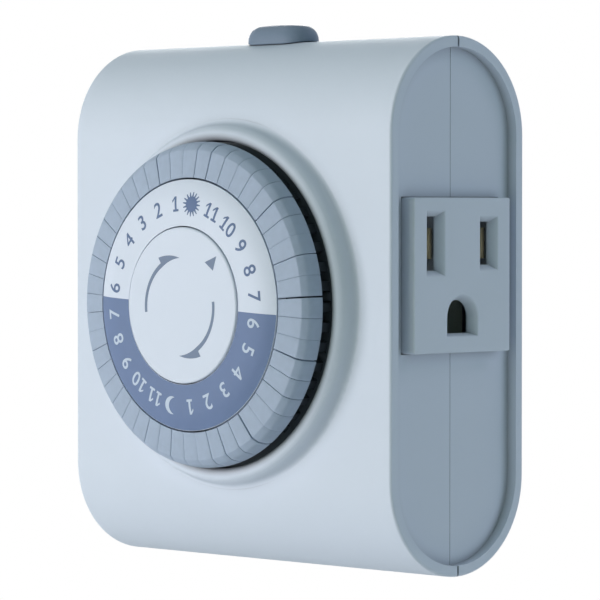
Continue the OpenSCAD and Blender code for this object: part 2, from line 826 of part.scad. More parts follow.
module blade_clip(y, side) {
    path = concat([for (i = [3 : -1 : 0]) clip_leaf(y, side)[i]], clip_leaf(y, -side));
    strip(path, strip_t, clip_h, slot_z);
}

module hot_contact() color([0.78, 0.62, 0.35]) {
    tab_x = leaf_root_x + tab_gap;
    tab_y = leaf_y + leaf_t + strip_t / 2;
    blade_clip(hot_y, 1);
    strip([[contact_back_x - strip_t / 2, hot_y], [contact_back_x - hot_bend[0], hot_y - hot_bend[1]],
           [tab_x + tab_l + 0.2, tab_y], [tab_x, tab_y]], strip_t, clip_h, slot_z);
    block([tab_x, tab_y - strip_t / 2, slot_z - clip_h / 2],
          [tab_x + tab_l, tab_y + strip_t / 2, nose_at[1] + lever_w / 2]);
}

module neutral_contact() color([0.78, 0.62, 0.35]) blade_clip(neutral_y, 1);

// A strip from the neutral blade, down and across to the back of the neutral contact
module neutral_bus() color([0.76, 0.60, 0.34]) {
    x0 = -blade_pitch / 2 - blade_t / 2 - strip_t;
    x1 = contact_back_x - strip_t / 2 - strip_t;
    block([x0, blade_end_y, bus_z], [x0 + strip_t, carrier_y - clear, plug_z + blade_w / 2]);
    block([x0, blade_end_y - strip_t, bus_z], [x1 + strip_t, blade_end_y + eps, bus_z + bus_w]);
    block([x1, neutral_y - clip_half, bus_z], [x1 + strip_t, blade_end_y, bus_z + bus_w]);
    block([x1, neutral_y - clip_half, bus_z], [x1 + strip_t, neutral_y + clip_half, slot_z + clip_h / 2]);
}

// A rolled sleeve that grips the ground pin of a plug
module ground_contact() color([0.78, 0.62, 0.35]) {
    translate([contact_back_x, outlet_y, ground_z]) rotate([0, 90, 0]) difference() {
        cylinder(r = ground_bore_r + strip_t, h = sleeve_l);
        translate([0, 0, -1]) cylinder(r = ground_bore_r, h = sleeve_l + 2);
        translate([-2 * ground_bore_r, -sleeve_slit / 2, -1])
            cube([2 * ground_bore_r, sleeve_slit, sleeve_l + 2]);
    }
}

module ground_strap() color([0.76, 0.60, 0.34]) {
    y0 = carrier_y - pin_end_l - strip_t / 2;
    y1 = outlet_y + ground_bore_r + 1.5 * strip_t + 0.03;
    strip([[-strap_half, y0], [contact_back_x - strap_w, y0], [contact_back_x, y1], [block_x - clear, y1]],
          strip_t, strap_w, ground_z);
    block([-strap_half, y0 - strip_t / 2, ground_z],
          [strap_half, y0 + strip_t / 2, plug_ground_z + strap_half]);
}

// From the hot blade to the fixed contact of the switch
module line_strip() color([0.76, 0.60, 0.34]) {
    x = blade_pitch / 2 + (blade_t + strip_t) / 2;
    strip([[leaf_rivet_x - lever_w / 2, line_y], [x - line_bend, line_y], [x, blade_end_y - 1],
           [x, carrier_y - clear]], strip_t, lever_w, nose_at[1]);
    rod(rivet_r, fixed_rivet_y, line_y, [leaf_rivet_x, nose_at[1]]);
}

// The moving contact: it turns about its rolled root
module leaf_contact() color([0.80, 0.66, 0.40]) {
    block([pad_x - leaf_tail, leaf_y, nose_at[1] - lever_w / 2],
          [leaf_root_x, leaf_y + leaf_t, nose_at[1] + lever_w / 2]);
    translate([leaf_root_x, leaf_y + leaf_t / 2, nose_at[1] - lever_w / 2])
        cylinder(r = leaf_root_r, h = lever_w);
    rod(rivet_r, leaf_y + leaf_t - eps, leaf_y + leaf_t + rivet_h, [leaf_rivet_x, nose_at[1]]);
}

// Outline of a blade from one side: half its breadth, and the length and width cut off at its tip
module blade_outline(half, cut) {
    polygon([[-half, blade_end_y], [half, blade_end_y], [half, blade_l - cut[0]],
             [half - cut[1], blade_l], [cut[1] - half, blade_l], [-half, blade_l - cut[0]]]);
}

// A plug blade: cut shoulders at the tip and a hole
module blade(x) {
    translate([x, 0, plug_z]) difference() {
        intersection() {
            rotate([0, 90, 0]) translate([0, 0, -blade_t / 2]) linear_extrude(height = blade_t)
                blade_outline(blade_w / 2, blade_chamfer);
            translate([0, 0, -blade_w]) linear_extrude(height = 2 * blade_w)
                blade_outline(blade_t / 2, blade_taper);
        }
        translate([-blade_t, blade_l - blade_hole_back, 0]) rotate([0, 90, 0])
            cylinder(r = blade_hole_r, h = 2 * blade_t);
    }
}

module hot_blade() color([0.80, 0.72, 0.50]) blade(blade_pitch / 2);

module neutral_blade() color([0.80, 0.72, 0.50]) blade(-blade_pitch / 2);

// The ground pin: a stub in its carrier, a shoulder at the wall face and a bullet tip
module ground_pin() color([0.80, 0.72, 0.50]) {
    translate([0, 0, plug_ground_z]) rotate([-90, 0, 0]) rotate_extrude() {
        translate([0, carrier_y - pin_end_l]) square([ground_stub_r, pin_end_l - carrier_y + eps]);
        square([ground_r, ground_l - ground_tip_l]);
        translate([0, ground_l - ground_tip_l]) intersection() {
            translate([ground_r - ground_tip_r, 0]) circle(r = ground_tip_r);
            square([ground_r, ground_tip_l]);
        }
    }
}

// Insulating block on the inside of the rear wall that holds the plug's pins
module plug_carrier() color([0.55, 0.57, 0.58]) {
    half_w = (blade_pitch + blade_t) / 2 + carrier_side;
    difference() {
        block([-half_w, carrier_y, plug_ground_z - ground_r - carrier_margin],
              [half_w, -wall, plug_z + blade_w / 2 + carrier_margin]);
        for (x = [-1, 1]) translate([x * blade_pitch / 2, carrier_y, plug_z])
            cube([blade_t + clear, 3 * carrier_d, blade_w + clear], center = true);
        rod(ground_stub_r + clear / 2, carrier_y - 1, 0, [0, plug_ground_z]);
    }
}

// The override knob: a crowned pill, its stem and the flange that keeps it in
module override_knob() color([0.42, 0.47, 0.53]) {
    translate([knob_at[0], knob_at[1], 0]) {
        hull() for (s = [-1, 1])
            translate([s * (knob_l - knob_w) / 2, 0, knob_back_z]) knob_end($fn = 32);
        block([-knob_stem_l / 2, -knob_stem_w / 2, knob_foot_z],
              [knob_stem_l / 2, knob_stem_w / 2, knob_back_z + eps]);
        block([-knob_stem_l / 2 - knob_flange_w, -knob_stem_w / 2 - knob_flange_w, knob_flange_z],
              [knob_stem_l / 2 + knob_flange_w, knob_stem_w / 2 + knob_flange_w,
               knob_flange_z + knob_flange_t]);
    }
}

// One round end of the knob's crown, as a turned profile
module knob_end() {
    crown = knob_h - knob_lift;
    rotate_extrude() polygon([[0, 0], [knob_w / 2, 0], [knob_w / 2, 0.25 * crown],
                              [knob_w / 2 - 0.45, 0.57 * crown], [knob_w / 2 - 1.3, 0.84 * crown],
                              [knob_w / 2 - 2.3, crown], [0, crown]]);
}

// The bridge under the knob's stem, which joins the two pads when the knob is moved over
module override_bridge() color([0.78, 0.62, 0.35]) {
    translate([knob_at[0], knob_at[1], 0]) {
        block([-bridge_l / 2, -bridge_w / 2, knob_foot_z - strip_t],
              [bridge_l / 2, bridge_w / 2, knob_foot_z]);
        for (s = [-1, 1])
            translate([s * (bridge_l / 2 - 1), 0, pad_top_z + pad_gap])
                cylinder(r = bridge_dimple_r, h = bridge_drop);
    }
}

// A pad's leg through the base, widened by extra all round
module pad_leg(x, z0, z1, extra = 0) {
    block([x - pad_leg_w / 2 - extra, line_y - strip_t / 2 - extra, z0],
          [x + pad_leg_w / 2 + extra, line_y + strip_t / 2 + extra, z1]);
}

module override_base() color([0.30, 0.32, 0.34]) {
    difference() {
        block([clear - rib_span / 2, mid_y - override_w / 2, override_z - override_t],
              [rib_span / 2 - clear, mid_y + override_w / 2, override_z]);
        for (s = [-1, 1])
            pad_leg(s * pad_leg_x, override_z - override_t - 1, override_z + 1, clear);
    }
}

module override_rib(side) {
    translate([side < 0 ? -rib_span / 2 - rib_t : rib_span / 2, 0, 0])
        block([0, -body_d, override_z - override_t], [rib_t, mid_y - lip_h - slip, body_h / 2]);
}

module override_pad_in() color([0.78, 0.62, 0.35]) {
    block([-pad_leg_x - pad_leg_w / 2, mid_y - pad_w / 2, override_z],
          [pad_in_x, mid_y + pad_w / 2, pad_top_z]);
    pad_leg(-pad_leg_x, jumper_z, override_z + eps);
}

module override_pad_out() color([0.78, 0.62, 0.35]) {
    x0 = pad_leg_x - pad_leg_w / 2;
    x1 = leaf_root_x + tab_l;
    z0 = jumper_z + jumper_rise;
    z1 = z0 + jumper_h;
    block([pad_out_x, mid_y - pad_w / 2, override_z],
          [pad_leg_x + pad_leg_w / 2, mid_y + pad_w / 2, pad_top_z]);
    pad_leg(pad_leg_x, z0, override_z + eps);
    block([x0, line_y - strip_t / 2, z0], [x1, line_y + strip_t / 2, z1]);
    block([x1 - strip_t, leaf_y + leaf_t, jumper_z], [x1, line_y + strip_t / 2, z1]);
}

module motor_can() color([0.62, 0.64, 0.66]) {
    difference() {
        rod(motor_r, motor_y + motor_cover_t, motor_y + motor_cover_t + motor_t, motor_axis);
        rod(motor_r - can_t, motor_y, motor_y + motor_cover_t + motor_t - can_t, motor_axis);
    }
}

module motor_cover() color([0.66, 0.68, 0.70]) {
    difference() {
        rod(motor_r, motor_y, motor_y + motor_cover_t, motor_axis);
        rod(shaft_r + bearing_gap, motor_y - 1, motor_y + motor_cover_t + 1, motor_axis);
    }
}

module motor_coil() color([0.62, 0.30, 0.16]) {
    y0 = motor_y + motor_cover_t + clear;
    difference() {
        rod(motor_r - can_t - clear, y0, y0 + motor_t - can_t - 2 * clear, motor_axis);
        rod(coil_bore_r, y0 - 1, y0 + motor_t, motor_axis);
    }
}

// A gear about an axis along Y
module gear(teeth, phase, y0, y1, at) {
    translate([at[0], y1, at[1]]) rotate([90, 0, 0]) linear_extrude(height = y1 - y0)
        polygon(gear_points(teeth, phase));
}

module motor_pinion() color([0.80, 0.66, 0.40]) {
    gear(motor_teeth, motor_angle + 180 + 180 / motor_teeth, wheel_y, wheel_y + wheel_t, motor_axis);
    rod(shaft_r, wheel_y + wheel_t - eps, motor_y + motor_cover_t + motor_shaft_l, motor_axis);
}

module transfer_wheel() color([0.88, 0.86, 0.80]) {
    difference() {
        union() {
            gear(wheel_teeth, motor_angle, wheel_y, wheel_y + wheel_t, transfer_axis);
            rod(journal_r, floor_back_y - floor_t - run_gap, wheel_y + eps, transfer_axis);
            rod(shaft_r, -body_d - pinion_front_h, plate_y + plate_t - run_gap, transfer_axis);
        }
        for (i = [1 : spoke_holes])
            let (a = (i - 0.5) * 360 / spoke_holes)
                rod(spoke_hole_r, wheel_y - 1, wheel_y + wheel_t + 1,
                    transfer_axis + spoke_hole_at * [cos(a), sin(a)]);
    }
}

module drive_pinion() color([0.80, 0.66, 0.40]) {
    difference() {
        gear(pinion_teeth, 90 + 180 / pinion_teeth, -body_d - pinion_front_h, -body_d - gear_back_h,
             transfer_axis);
        rod(shaft_r, -body_d - pinion_front_h - 1, -body_d - gear_back_h + 1, transfer_axis);
    }
}

module gear_plate() color([0.70, 0.72, 0.74]) {
    difference() {
        translate([0, plate_y + plate_t, 0]) rotate([90, 0, 0]) linear_extrude(height = plate_t) hull() {
            for (p = pillars) translate(p) circle(r = pillar_r + plate_margin, $fn = 32);
            translate(motor_axis) circle(r = motor_r * 0.6, $fn = 32);
        }
        for (p = pillars) rod(plate_screw_r + clear, plate_y - 1, plate_y + plate_t + 1, p);
        rod(shaft_r + bearing_gap, plate_y - 1, plate_y + plate_t + 1, transfer_axis);
        rod(motor_gear_r + gear_module + slip, plate_y - 1, plate_y + plate_t + 1, motor_axis);
    }
}

module plate_screws() color([0.72, 0.73, 0.75]) {
    for (p = pillars) translate([p[0], 0, p[1]])
        screw(plate_head_r, plate_head_h, plate_screw_r, plate_y + plate_t,
              plate_t + plate_screw_grip - slip);
}

// The lever that a pushed-in tappet tilts: bored hub, arm, nose through the floor, and pad
module follower_lever() color([0.90, 0.89, 0.84]) {
    nose_root_y = pivot_at[1] - lever_t / 2 + eps;
    low_z = nose_at[1] - lever_w / 2;
    difference() {
        union() {
            translate([pivot_at[0], pivot_at[1], low_z]) cylinder(r = pivot_r + lever_hub_t, h = lever_w);
            block([pivot_at[0], pivot_at[1] - lever_t / 2, low_z],
                  [pad_x + pad_r, pivot_at[1] + lever_t / 2 - lever_thin, low_z + lever_w]);
            translate([pad_x, leaf_y - clear - pad_r, low_z]) cylinder(r = pad_r, h = lever_w);
            translate([nose_at[0], nose_root_y, nose_at[1]]) rotate([90, 0, 0]) rotate([0, 0, -nose_clock])
                nose(nose_root_y + body_d + nose_tip_h);
        }
        translate([pivot_at[0], pivot_at[1], low_z - 1]) cylinder(r = pivot_r + bearing_gap, h = lever_w + 2);
    }
}

// The follower's nose: a ridge along the dial's radius that tapers to its tip
module nose(height) {
    translate([0, nose_l / 2, 0]) rotate([90, 0, 0]) linear_extrude(height = nose_l)
        polygon([[-nose_w, 0], [nose_w, 0], [nose_w, height - nose_taper], [nose_w / 2, height],
                 [-nose_w / 2, height], [-nose_w, height - nose_taper]]);
}

module follower_pin() color([0.75, 0.76, 0.78]) {
    l = lever_w + 2 * (run_gap + lug_t);
    translate([pivot_at[0], pivot_at[1], nose_at[1] - l / 2]) cylinder(r = pivot_r, h = l);
}

// The turning carrier: bearing sleeve, drum for the face, slotted flange and ring gear
module dial_carrier() color([0.60, 0.66, 0.72]) {
    bore_r = post_r + bearing_gap;
    drum_r = face_r - drum_gap;
    dial_frame() difference() {
        union() {
            translate([0, 0, gear_back_h]) linear_extrude(height = gear_w + eps)
                polygon(gear_points(dial_teeth, -90));
            rotate_extrude() {
                translate([bore_r, flange_back_h]) square([tappet_r - bore_r, flange_t]);
                translate([bore_r, flange_back_h])
                    square([sleeve_t, hub_back_h - run_gap - flange_back_h - slip]);
                for (r = [hub_r + run_gap + drum_inset, drum_r])
                    translate([r - drum_t, flange_back_h]) square([drum_t, face_back_h - flange_back_h]);
            }
            for (i = [1 : rib_count])
                rotate([0, 0, i * 360 / rib_count])
                    translate([bore_r + sleeve_t / 2, -rib_w / 2, flange_front_h - eps])
                        cube([drum_r - drum_t / 2 - bore_r - sleeve_t / 2, rib_w,
                              face_back_h - rib_drop - flange_front_h]);
        }
        translate([0, 0, gear_back_h - 1]) cylinder(r = bore_r, h = gear_w + 2);
        for (i = [0 : tappet_count - 1])
            rotate([0, 0, -tappet_clock(i)]) translate([0, stem_mid_r, flange_back_h + flange_t / 2])
                cube([stem_w + 2 * stem_gap, stem_depth + 2 * stem_gap, flange_t + 1], center = true);
    }
}

function tappet_clock(i) = dial_turn + (i + 0.5) * tappet_deg;

// The disc that carries the hours: flat inside, curving down to its edge
module dial_face() color([0.84, 0.88, 0.93]) {
    inner_r = hub_r + run_gap;
    face_h = face_crown_h - face_back_h;
    rise = face_crown_h - face_edge_h;
    run = face_r - face_flat_r;
    crown_r = (run * run + rise * rise) / (2 * rise);
    dial_frame() rotate_extrude() {
        translate([inner_r, face_back_h]) square([face_flat_r - inner_r + eps, face_h]);
        intersection() {
            translate([face_flat_r, face_back_h]) square([run, face_h]);
            translate([face_flat_r, face_crown_h - crown_r]) circle(r = crown_r, $fn = crown_fn);
        }
    }
}

// The fixed cap on the post, which keeps the dial on
module hub_cap() color([0.86, 0.90, 0.95]) {
    dial_frame() rotate_extrude() {
        translate([0, hub_back_h]) square([hub_r, hub_t - hub_edge]);
        translate([0, hub_h - hub_edge]) square([hub_r - hub_edge, hub_edge]);
        translate([hub_r - hub_edge, hub_h - hub_edge]) intersection() {
            circle(r = hub_edge);
            square(hub_edge);
        }
        translate([0, hub_back_h - hub_stem_l]) square([hub_stem_r, hub_stem_l + eps]);
    }
}

// One tappet: a pad in the shape of a ring segment with a sloping front, and its stem
module tappet(i) {
    clock = tappet_clock(i);
    brow_h = tappet_h - shoulder_drop;
    sector(clock, tappet_deg - gap_deg,
           [[tappet_in_r, pad_back_h], [tappet_r, pad_back_h], [tappet_r, brow_h - shoulder_h],
            [shoulder_r + shoulder_bevel, brow_h - shoulder_bevel], [shoulder_r, brow_h],
            [tappet_in_r, tappet_h]]);
    rotate([0, 0, -clock]) translate([0, stem_mid_r, (pad_back_h + stem_back_h) / 2 + eps])
        cube([stem_w, stem_depth, pad_back_h - stem_back_h + 2 * eps], center = true);
}

// The two half-hour tappets of an hour, counted clockwise from noon
module tappets(hour) color([0.64, 0.70, 0.77]) {
    dial_frame() for (i = [2 * hour - 2, 2 * hour - 1]) tappet(i);
}

front_housing();
rear_housing();
housing_screws();
receptacle_insert();
contact_block();
hot_contact();
neutral_contact();
ground_contact();
neutral_bus();
ground_strap();
line_strip();
leaf_contact();
hot_blade();
neutral_blade();
ground_pin();
plug_carrier();
override_knob();
override_bridge();
override_base();
override_pad_in();
override_pad_out();
motor_can();
motor_cover();
motor_coil();
motor_pinion();
transfer_wheel();
drive_pinion();
gear_plate();
plate_screws();
follower_lever();
follower_pin();
dial_carrier();
dial_face();
hub_cap();
for (hour = [1 : tappet_count / 2]) tappets(hour);
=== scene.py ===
"""Studio scene of a plug-in timer switch.

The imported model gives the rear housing, the contacts, the gears and every other inner part.
This script dresses them in moulded plastics and metals, and models what needs softer edges or
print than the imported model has: the ring of tappets, the hour print, the cap's print, the
override slide, the face of the outlet and the front housing with its bezel.
Lengths are millimetres in the classes and metres in Blender.
"""

from __future__ import annotations

import logging
import math
import random
from dataclasses import dataclass
from enum import Enum
from typing import ClassVar

import bmesh
import bpy
from mathutils import Matrix, Vector

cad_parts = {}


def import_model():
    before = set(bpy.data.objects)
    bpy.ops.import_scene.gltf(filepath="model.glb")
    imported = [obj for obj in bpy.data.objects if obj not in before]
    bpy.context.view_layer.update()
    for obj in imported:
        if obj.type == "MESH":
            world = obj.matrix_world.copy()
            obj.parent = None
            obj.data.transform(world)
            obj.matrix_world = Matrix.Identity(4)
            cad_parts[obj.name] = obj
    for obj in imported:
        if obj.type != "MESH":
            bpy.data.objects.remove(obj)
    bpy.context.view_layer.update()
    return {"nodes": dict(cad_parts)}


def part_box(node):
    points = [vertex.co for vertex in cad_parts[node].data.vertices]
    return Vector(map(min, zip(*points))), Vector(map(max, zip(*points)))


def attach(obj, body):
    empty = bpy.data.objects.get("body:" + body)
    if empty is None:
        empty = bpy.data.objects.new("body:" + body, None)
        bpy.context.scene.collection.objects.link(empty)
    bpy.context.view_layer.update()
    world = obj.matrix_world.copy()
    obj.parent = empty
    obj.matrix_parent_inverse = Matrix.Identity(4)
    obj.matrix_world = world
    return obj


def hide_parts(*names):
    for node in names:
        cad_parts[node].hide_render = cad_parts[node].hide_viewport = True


LOG = logging.getLogger("timer_switch")
MM = 0.001

Colour = tuple[float, float, float]
Point2 = tuple[float, float]
Form = bmesh.types.BMesh
Socket = bpy.types.NodeSocket

# Place of the housing's front face along Y, in metres
FRONT_Y = -0.0318
# What Blender's wave texture multiplies its place by
WAVE_FACTOR = 20.0


class Body(str, Enum):
    """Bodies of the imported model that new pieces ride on."""

    HOUSING = "housing"
    DIAL = "dial"
    OVERRIDE = "override"


# ---- Shader groups


class ShaderGroup:
    """A node group that is built once and placed in many materials."""

    def __init__(self, name: str) -> None:
        """Start an empty group.

        Args:
            name: Name of the group.
        """
        self.tree = bpy.data.node_groups.new(name, "ShaderNodeTree")
        self.inside = self.tree.nodes.new("NodeGroupInput")
        self.outside = self.tree.nodes.new("NodeGroupOutput")

    def add_input(self, name: str, kind: str, default: float | None = None) -> None:
        """Add an input socket.

        Args:
            name: Name of the socket.
            kind: Blender's type of the socket.
            default: Value while nothing is linked.
        """
        socket = self.tree.interface.new_socket(name, in_out="INPUT", socket_type=kind)
        if default is not None:
            socket.default_value = default

    def add_floats(self, **defaults: float) -> None:
        """Add number inputs.

        Args:
            **defaults: Their values while nothing is linked, by name, with underscores for spaces.
        """
        for name, default in defaults.items():
            self.add_input(name.replace("_", " "), "NodeSocketFloat", default)

    def add_output(self, name: str, kind: str) -> None:
        """Add an output socket.

        Args:
            name: Name of the socket.
            kind: Blender's type of the socket.
        """
        self.tree.interface.new_socket(name, in_out="OUTPUT", socket_type=kind)

    def place_in_mm(self) -> Socket:
        """Give the group's first input, its place, in millimetres."""
        to_mm = self.node("ShaderNodeVectorMath", operation="SCALE")
        to_mm.inputs[3].default_value = 1.0 / MM
        self.link(self.inside.outputs[0], to_mm.inputs[0])
        return to_mm.outputs[0]

    def vary_roughness(self, pattern: Socket, middle: Socket, spread: Socket) -> Socket:
        """Let the group's roughness follow a pattern.

        Args:
            pattern: Socket of the pattern, from 0 to 1.
            middle: Socket of the roughness at the pattern's middle.
            spread: Socket of how far the roughness varies.

        Returns:
            Socket of the pattern, centred on 0.
        """
        centred = self.node("ShaderNodeMath", operation="SUBTRACT", i1=0.5)
        self.link(pattern, centred.inputs[0])
        rough = self.node("ShaderNodeMath", operation="MULTIPLY_ADD")
        self.link(centred.outputs[0], rough.inputs[0])
        self.link(spread, rough.inputs[1])
        self.link(middle, rough.inputs[2])
        self.link(rough.outputs[0], self.outside.inputs["Roughness"])
        return centred.outputs[0]

    def node(self, kind: str, **settings: object) -> bpy.types.Node:
        """Add a node.

        Args:
            kind: Blender's type of the node.
            **settings: Attributes of the node, or values of its inputs as i0, i1 and so on.

        Returns:
            The new node.
        """
        return make_node(self.tree, kind, **settings)

    def link(self, start: Socket, end: Socket) -> None:
        """Join two sockets."""
        self.tree.links.new(start, end)


def make_node(tree: bpy.types.NodeTree, kind: str, **settings: object) -> bpy.types.Node:
    """Add a node to a tree.

    Args:
        tree: Tree that gets the node.
        kind: Blender's type of the node.
        **settings: Attributes of the node, or values of its inputs as i0, i1 and so on.

    Returns:
        The new node.
    """
    node = tree.nodes.new(kind)
    for key, value in settings.items():
        if key[0] == "i" and key[1:].isdigit():
            node.inputs[int(key[1:])].default_value = value
        else:
            setattr(node, key, value)
    return node


class GroupLibrary:
    """The shader groups that the finishes share."""

    def __init__(self) -> None:
        """Build every group once."""
        self.mould = self._mould_texture()
        self.metal = self._metal_grain()
        self.dust = self._settled_dust()

    @staticmethod
    def _mould_texture() -> bpy.types.NodeTree:
        """Build the fine texture that a mould leaves in plastic.

        Returns:
            A group with a height, a roughness and a tint that vary over the surface.
        """
        group = ShaderGroup("mould_texture")
        group.add_input("Vector", "NodeSocketVector")
        group.add_floats(Grain_per_mm=3.0, Flow_per_mm=0.05)
        group.add_floats(Roughness=0.5, Roughness_spread=0.1, Tint_spread=0.03)
        for name in ("Height", "Roughness", "Tint"):
            group.add_output(name, "NodeSocketFloat")
        inputs = group.inside.outputs
        place = group.place_in_mm()
        grain = group.node("ShaderNodeTexNoise", i3=2.0, i4=0.6)
        group.link(place, grain.inputs["Vector"])
        group.link(inputs[1], grain.inputs["Scale"])
        pits = group.node("ShaderNodeTexVoronoi", feature="SMOOTH_F1")
        group.link(place, pits.inputs["Vector"])
        group.link(inputs[1], pits.inputs["Scale"])
        height = group.node("ShaderNodeMath", operation="MULTIPLY_ADD", i1=0.6)
        group.link(grain.outputs[0], height.inputs[0])
        group.link(pits.outputs[0], height.inputs[2])
        group.link(height.outputs[0], group.outside.inputs["Height"])
        flow = group.node("ShaderNodeTexNoise", i3=3.0, i4=0.5)
        group.link(place, flow.inputs["Vector"])
        group.link(inputs[2], flow.inputs["Scale"])
        centred = group.vary_roughness(flow.outputs[0], inputs[3], inputs[4])
        tint = group.node("ShaderNodeMath", operation="MULTIPLY_ADD", i2=1.0)
        group.link(centred, tint.inputs[0])
        group.link(inputs[5], tint.inputs[1])
        group.link(tint.outputs[0], group.outside.inputs["Tint"])
        return group.tree

    @staticmethod
    def _metal_grain() -> bpy.types.NodeTree:
        """Build the fine lines of rolled, drawn or turned metal.

        Returns:
            A group with a height, a roughness and a tint that vary over the surface.
        """
        group = ShaderGroup("metal_grain")
        group.add_input("Vector", "NodeSocketVector")
        group.add_floats(Lines_per_mm=12.0, Roughness=0.3, Roughness_spread=0.2)
        for name in ("Height", "Roughness", "Tint"):
            group.add_output(name, "NodeSocketFloat")
        inputs = group.inside.outputs
        place = group.place_in_mm()
        lines = group.node("ShaderNodeTexNoise", i3=3.0, i4=0.65)
        group.link(place, lines.inputs["Vector"])
        group.link(inputs[1], lines.inputs["Scale"])
        group.link(lines.outputs[0], group.outside.inputs["Height"])
        stains = group.node("ShaderNodeTexNoise", i2=0.35, i3=3.0, i4=0.5)
        group.link(place, stains.inputs["Vector"])
        centred = group.vary_roughness(stains.outputs[0], inputs[2], inputs[3])
        tint = group.node("ShaderNodeMath", operation="MULTIPLY_ADD", i1=0.25, i2=1.0)
        group.link(centred, tint.inputs[0])
        group.link(tint.outputs[0], group.outside.inputs["Tint"])
        return group.tree

    @staticmethod
    def _settled_dust() -> bpy.types.NodeTree:
        """Build a mask of faint dust that gathers in patches.

        Returns:
            A group that lifts a colour towards grey where the dust lies.
        """
        group = ShaderGroup("settled_dust")
        group.add_input("Vector", "NodeSocketVector")
        group.add_input("Amount", "NodeSocketFloat", 0.03)
        group.add_input("Colour", "NodeSocketColor")
        group.add_output("Colour", "NodeSocketColor")
        inputs = group.inside.outputs
        specks = group.node("ShaderNodeTexNoise", i2=900.0, i3=4.0, i4=0.7)
        group.link(inputs[0], specks.inputs["Vector"])
        spread = group.node("ShaderNodeMapRange", i1=0.45, i2=0.75)
        group.link(specks.outputs[0], spread.inputs[0])
        amount = group.node("ShaderNodeMath", operation="MULTIPLY")
        group.link(spread.outputs[0], amount.inputs[0])
        group.link(inputs[1], amount.inputs[1])
        mix = group.node("ShaderNodeMix", data_type="RGBA")
        mix.inputs[7].default_value = (0.62, 0.64, 0.66, 1.0)
        group.link(amount.outputs[0], mix.inputs[0])
        group.link(inputs[2], mix.inputs[6])
        group.link(mix.outputs[2], group.outside.inputs["Colour"])
        return group.tree


# ---- Finishes


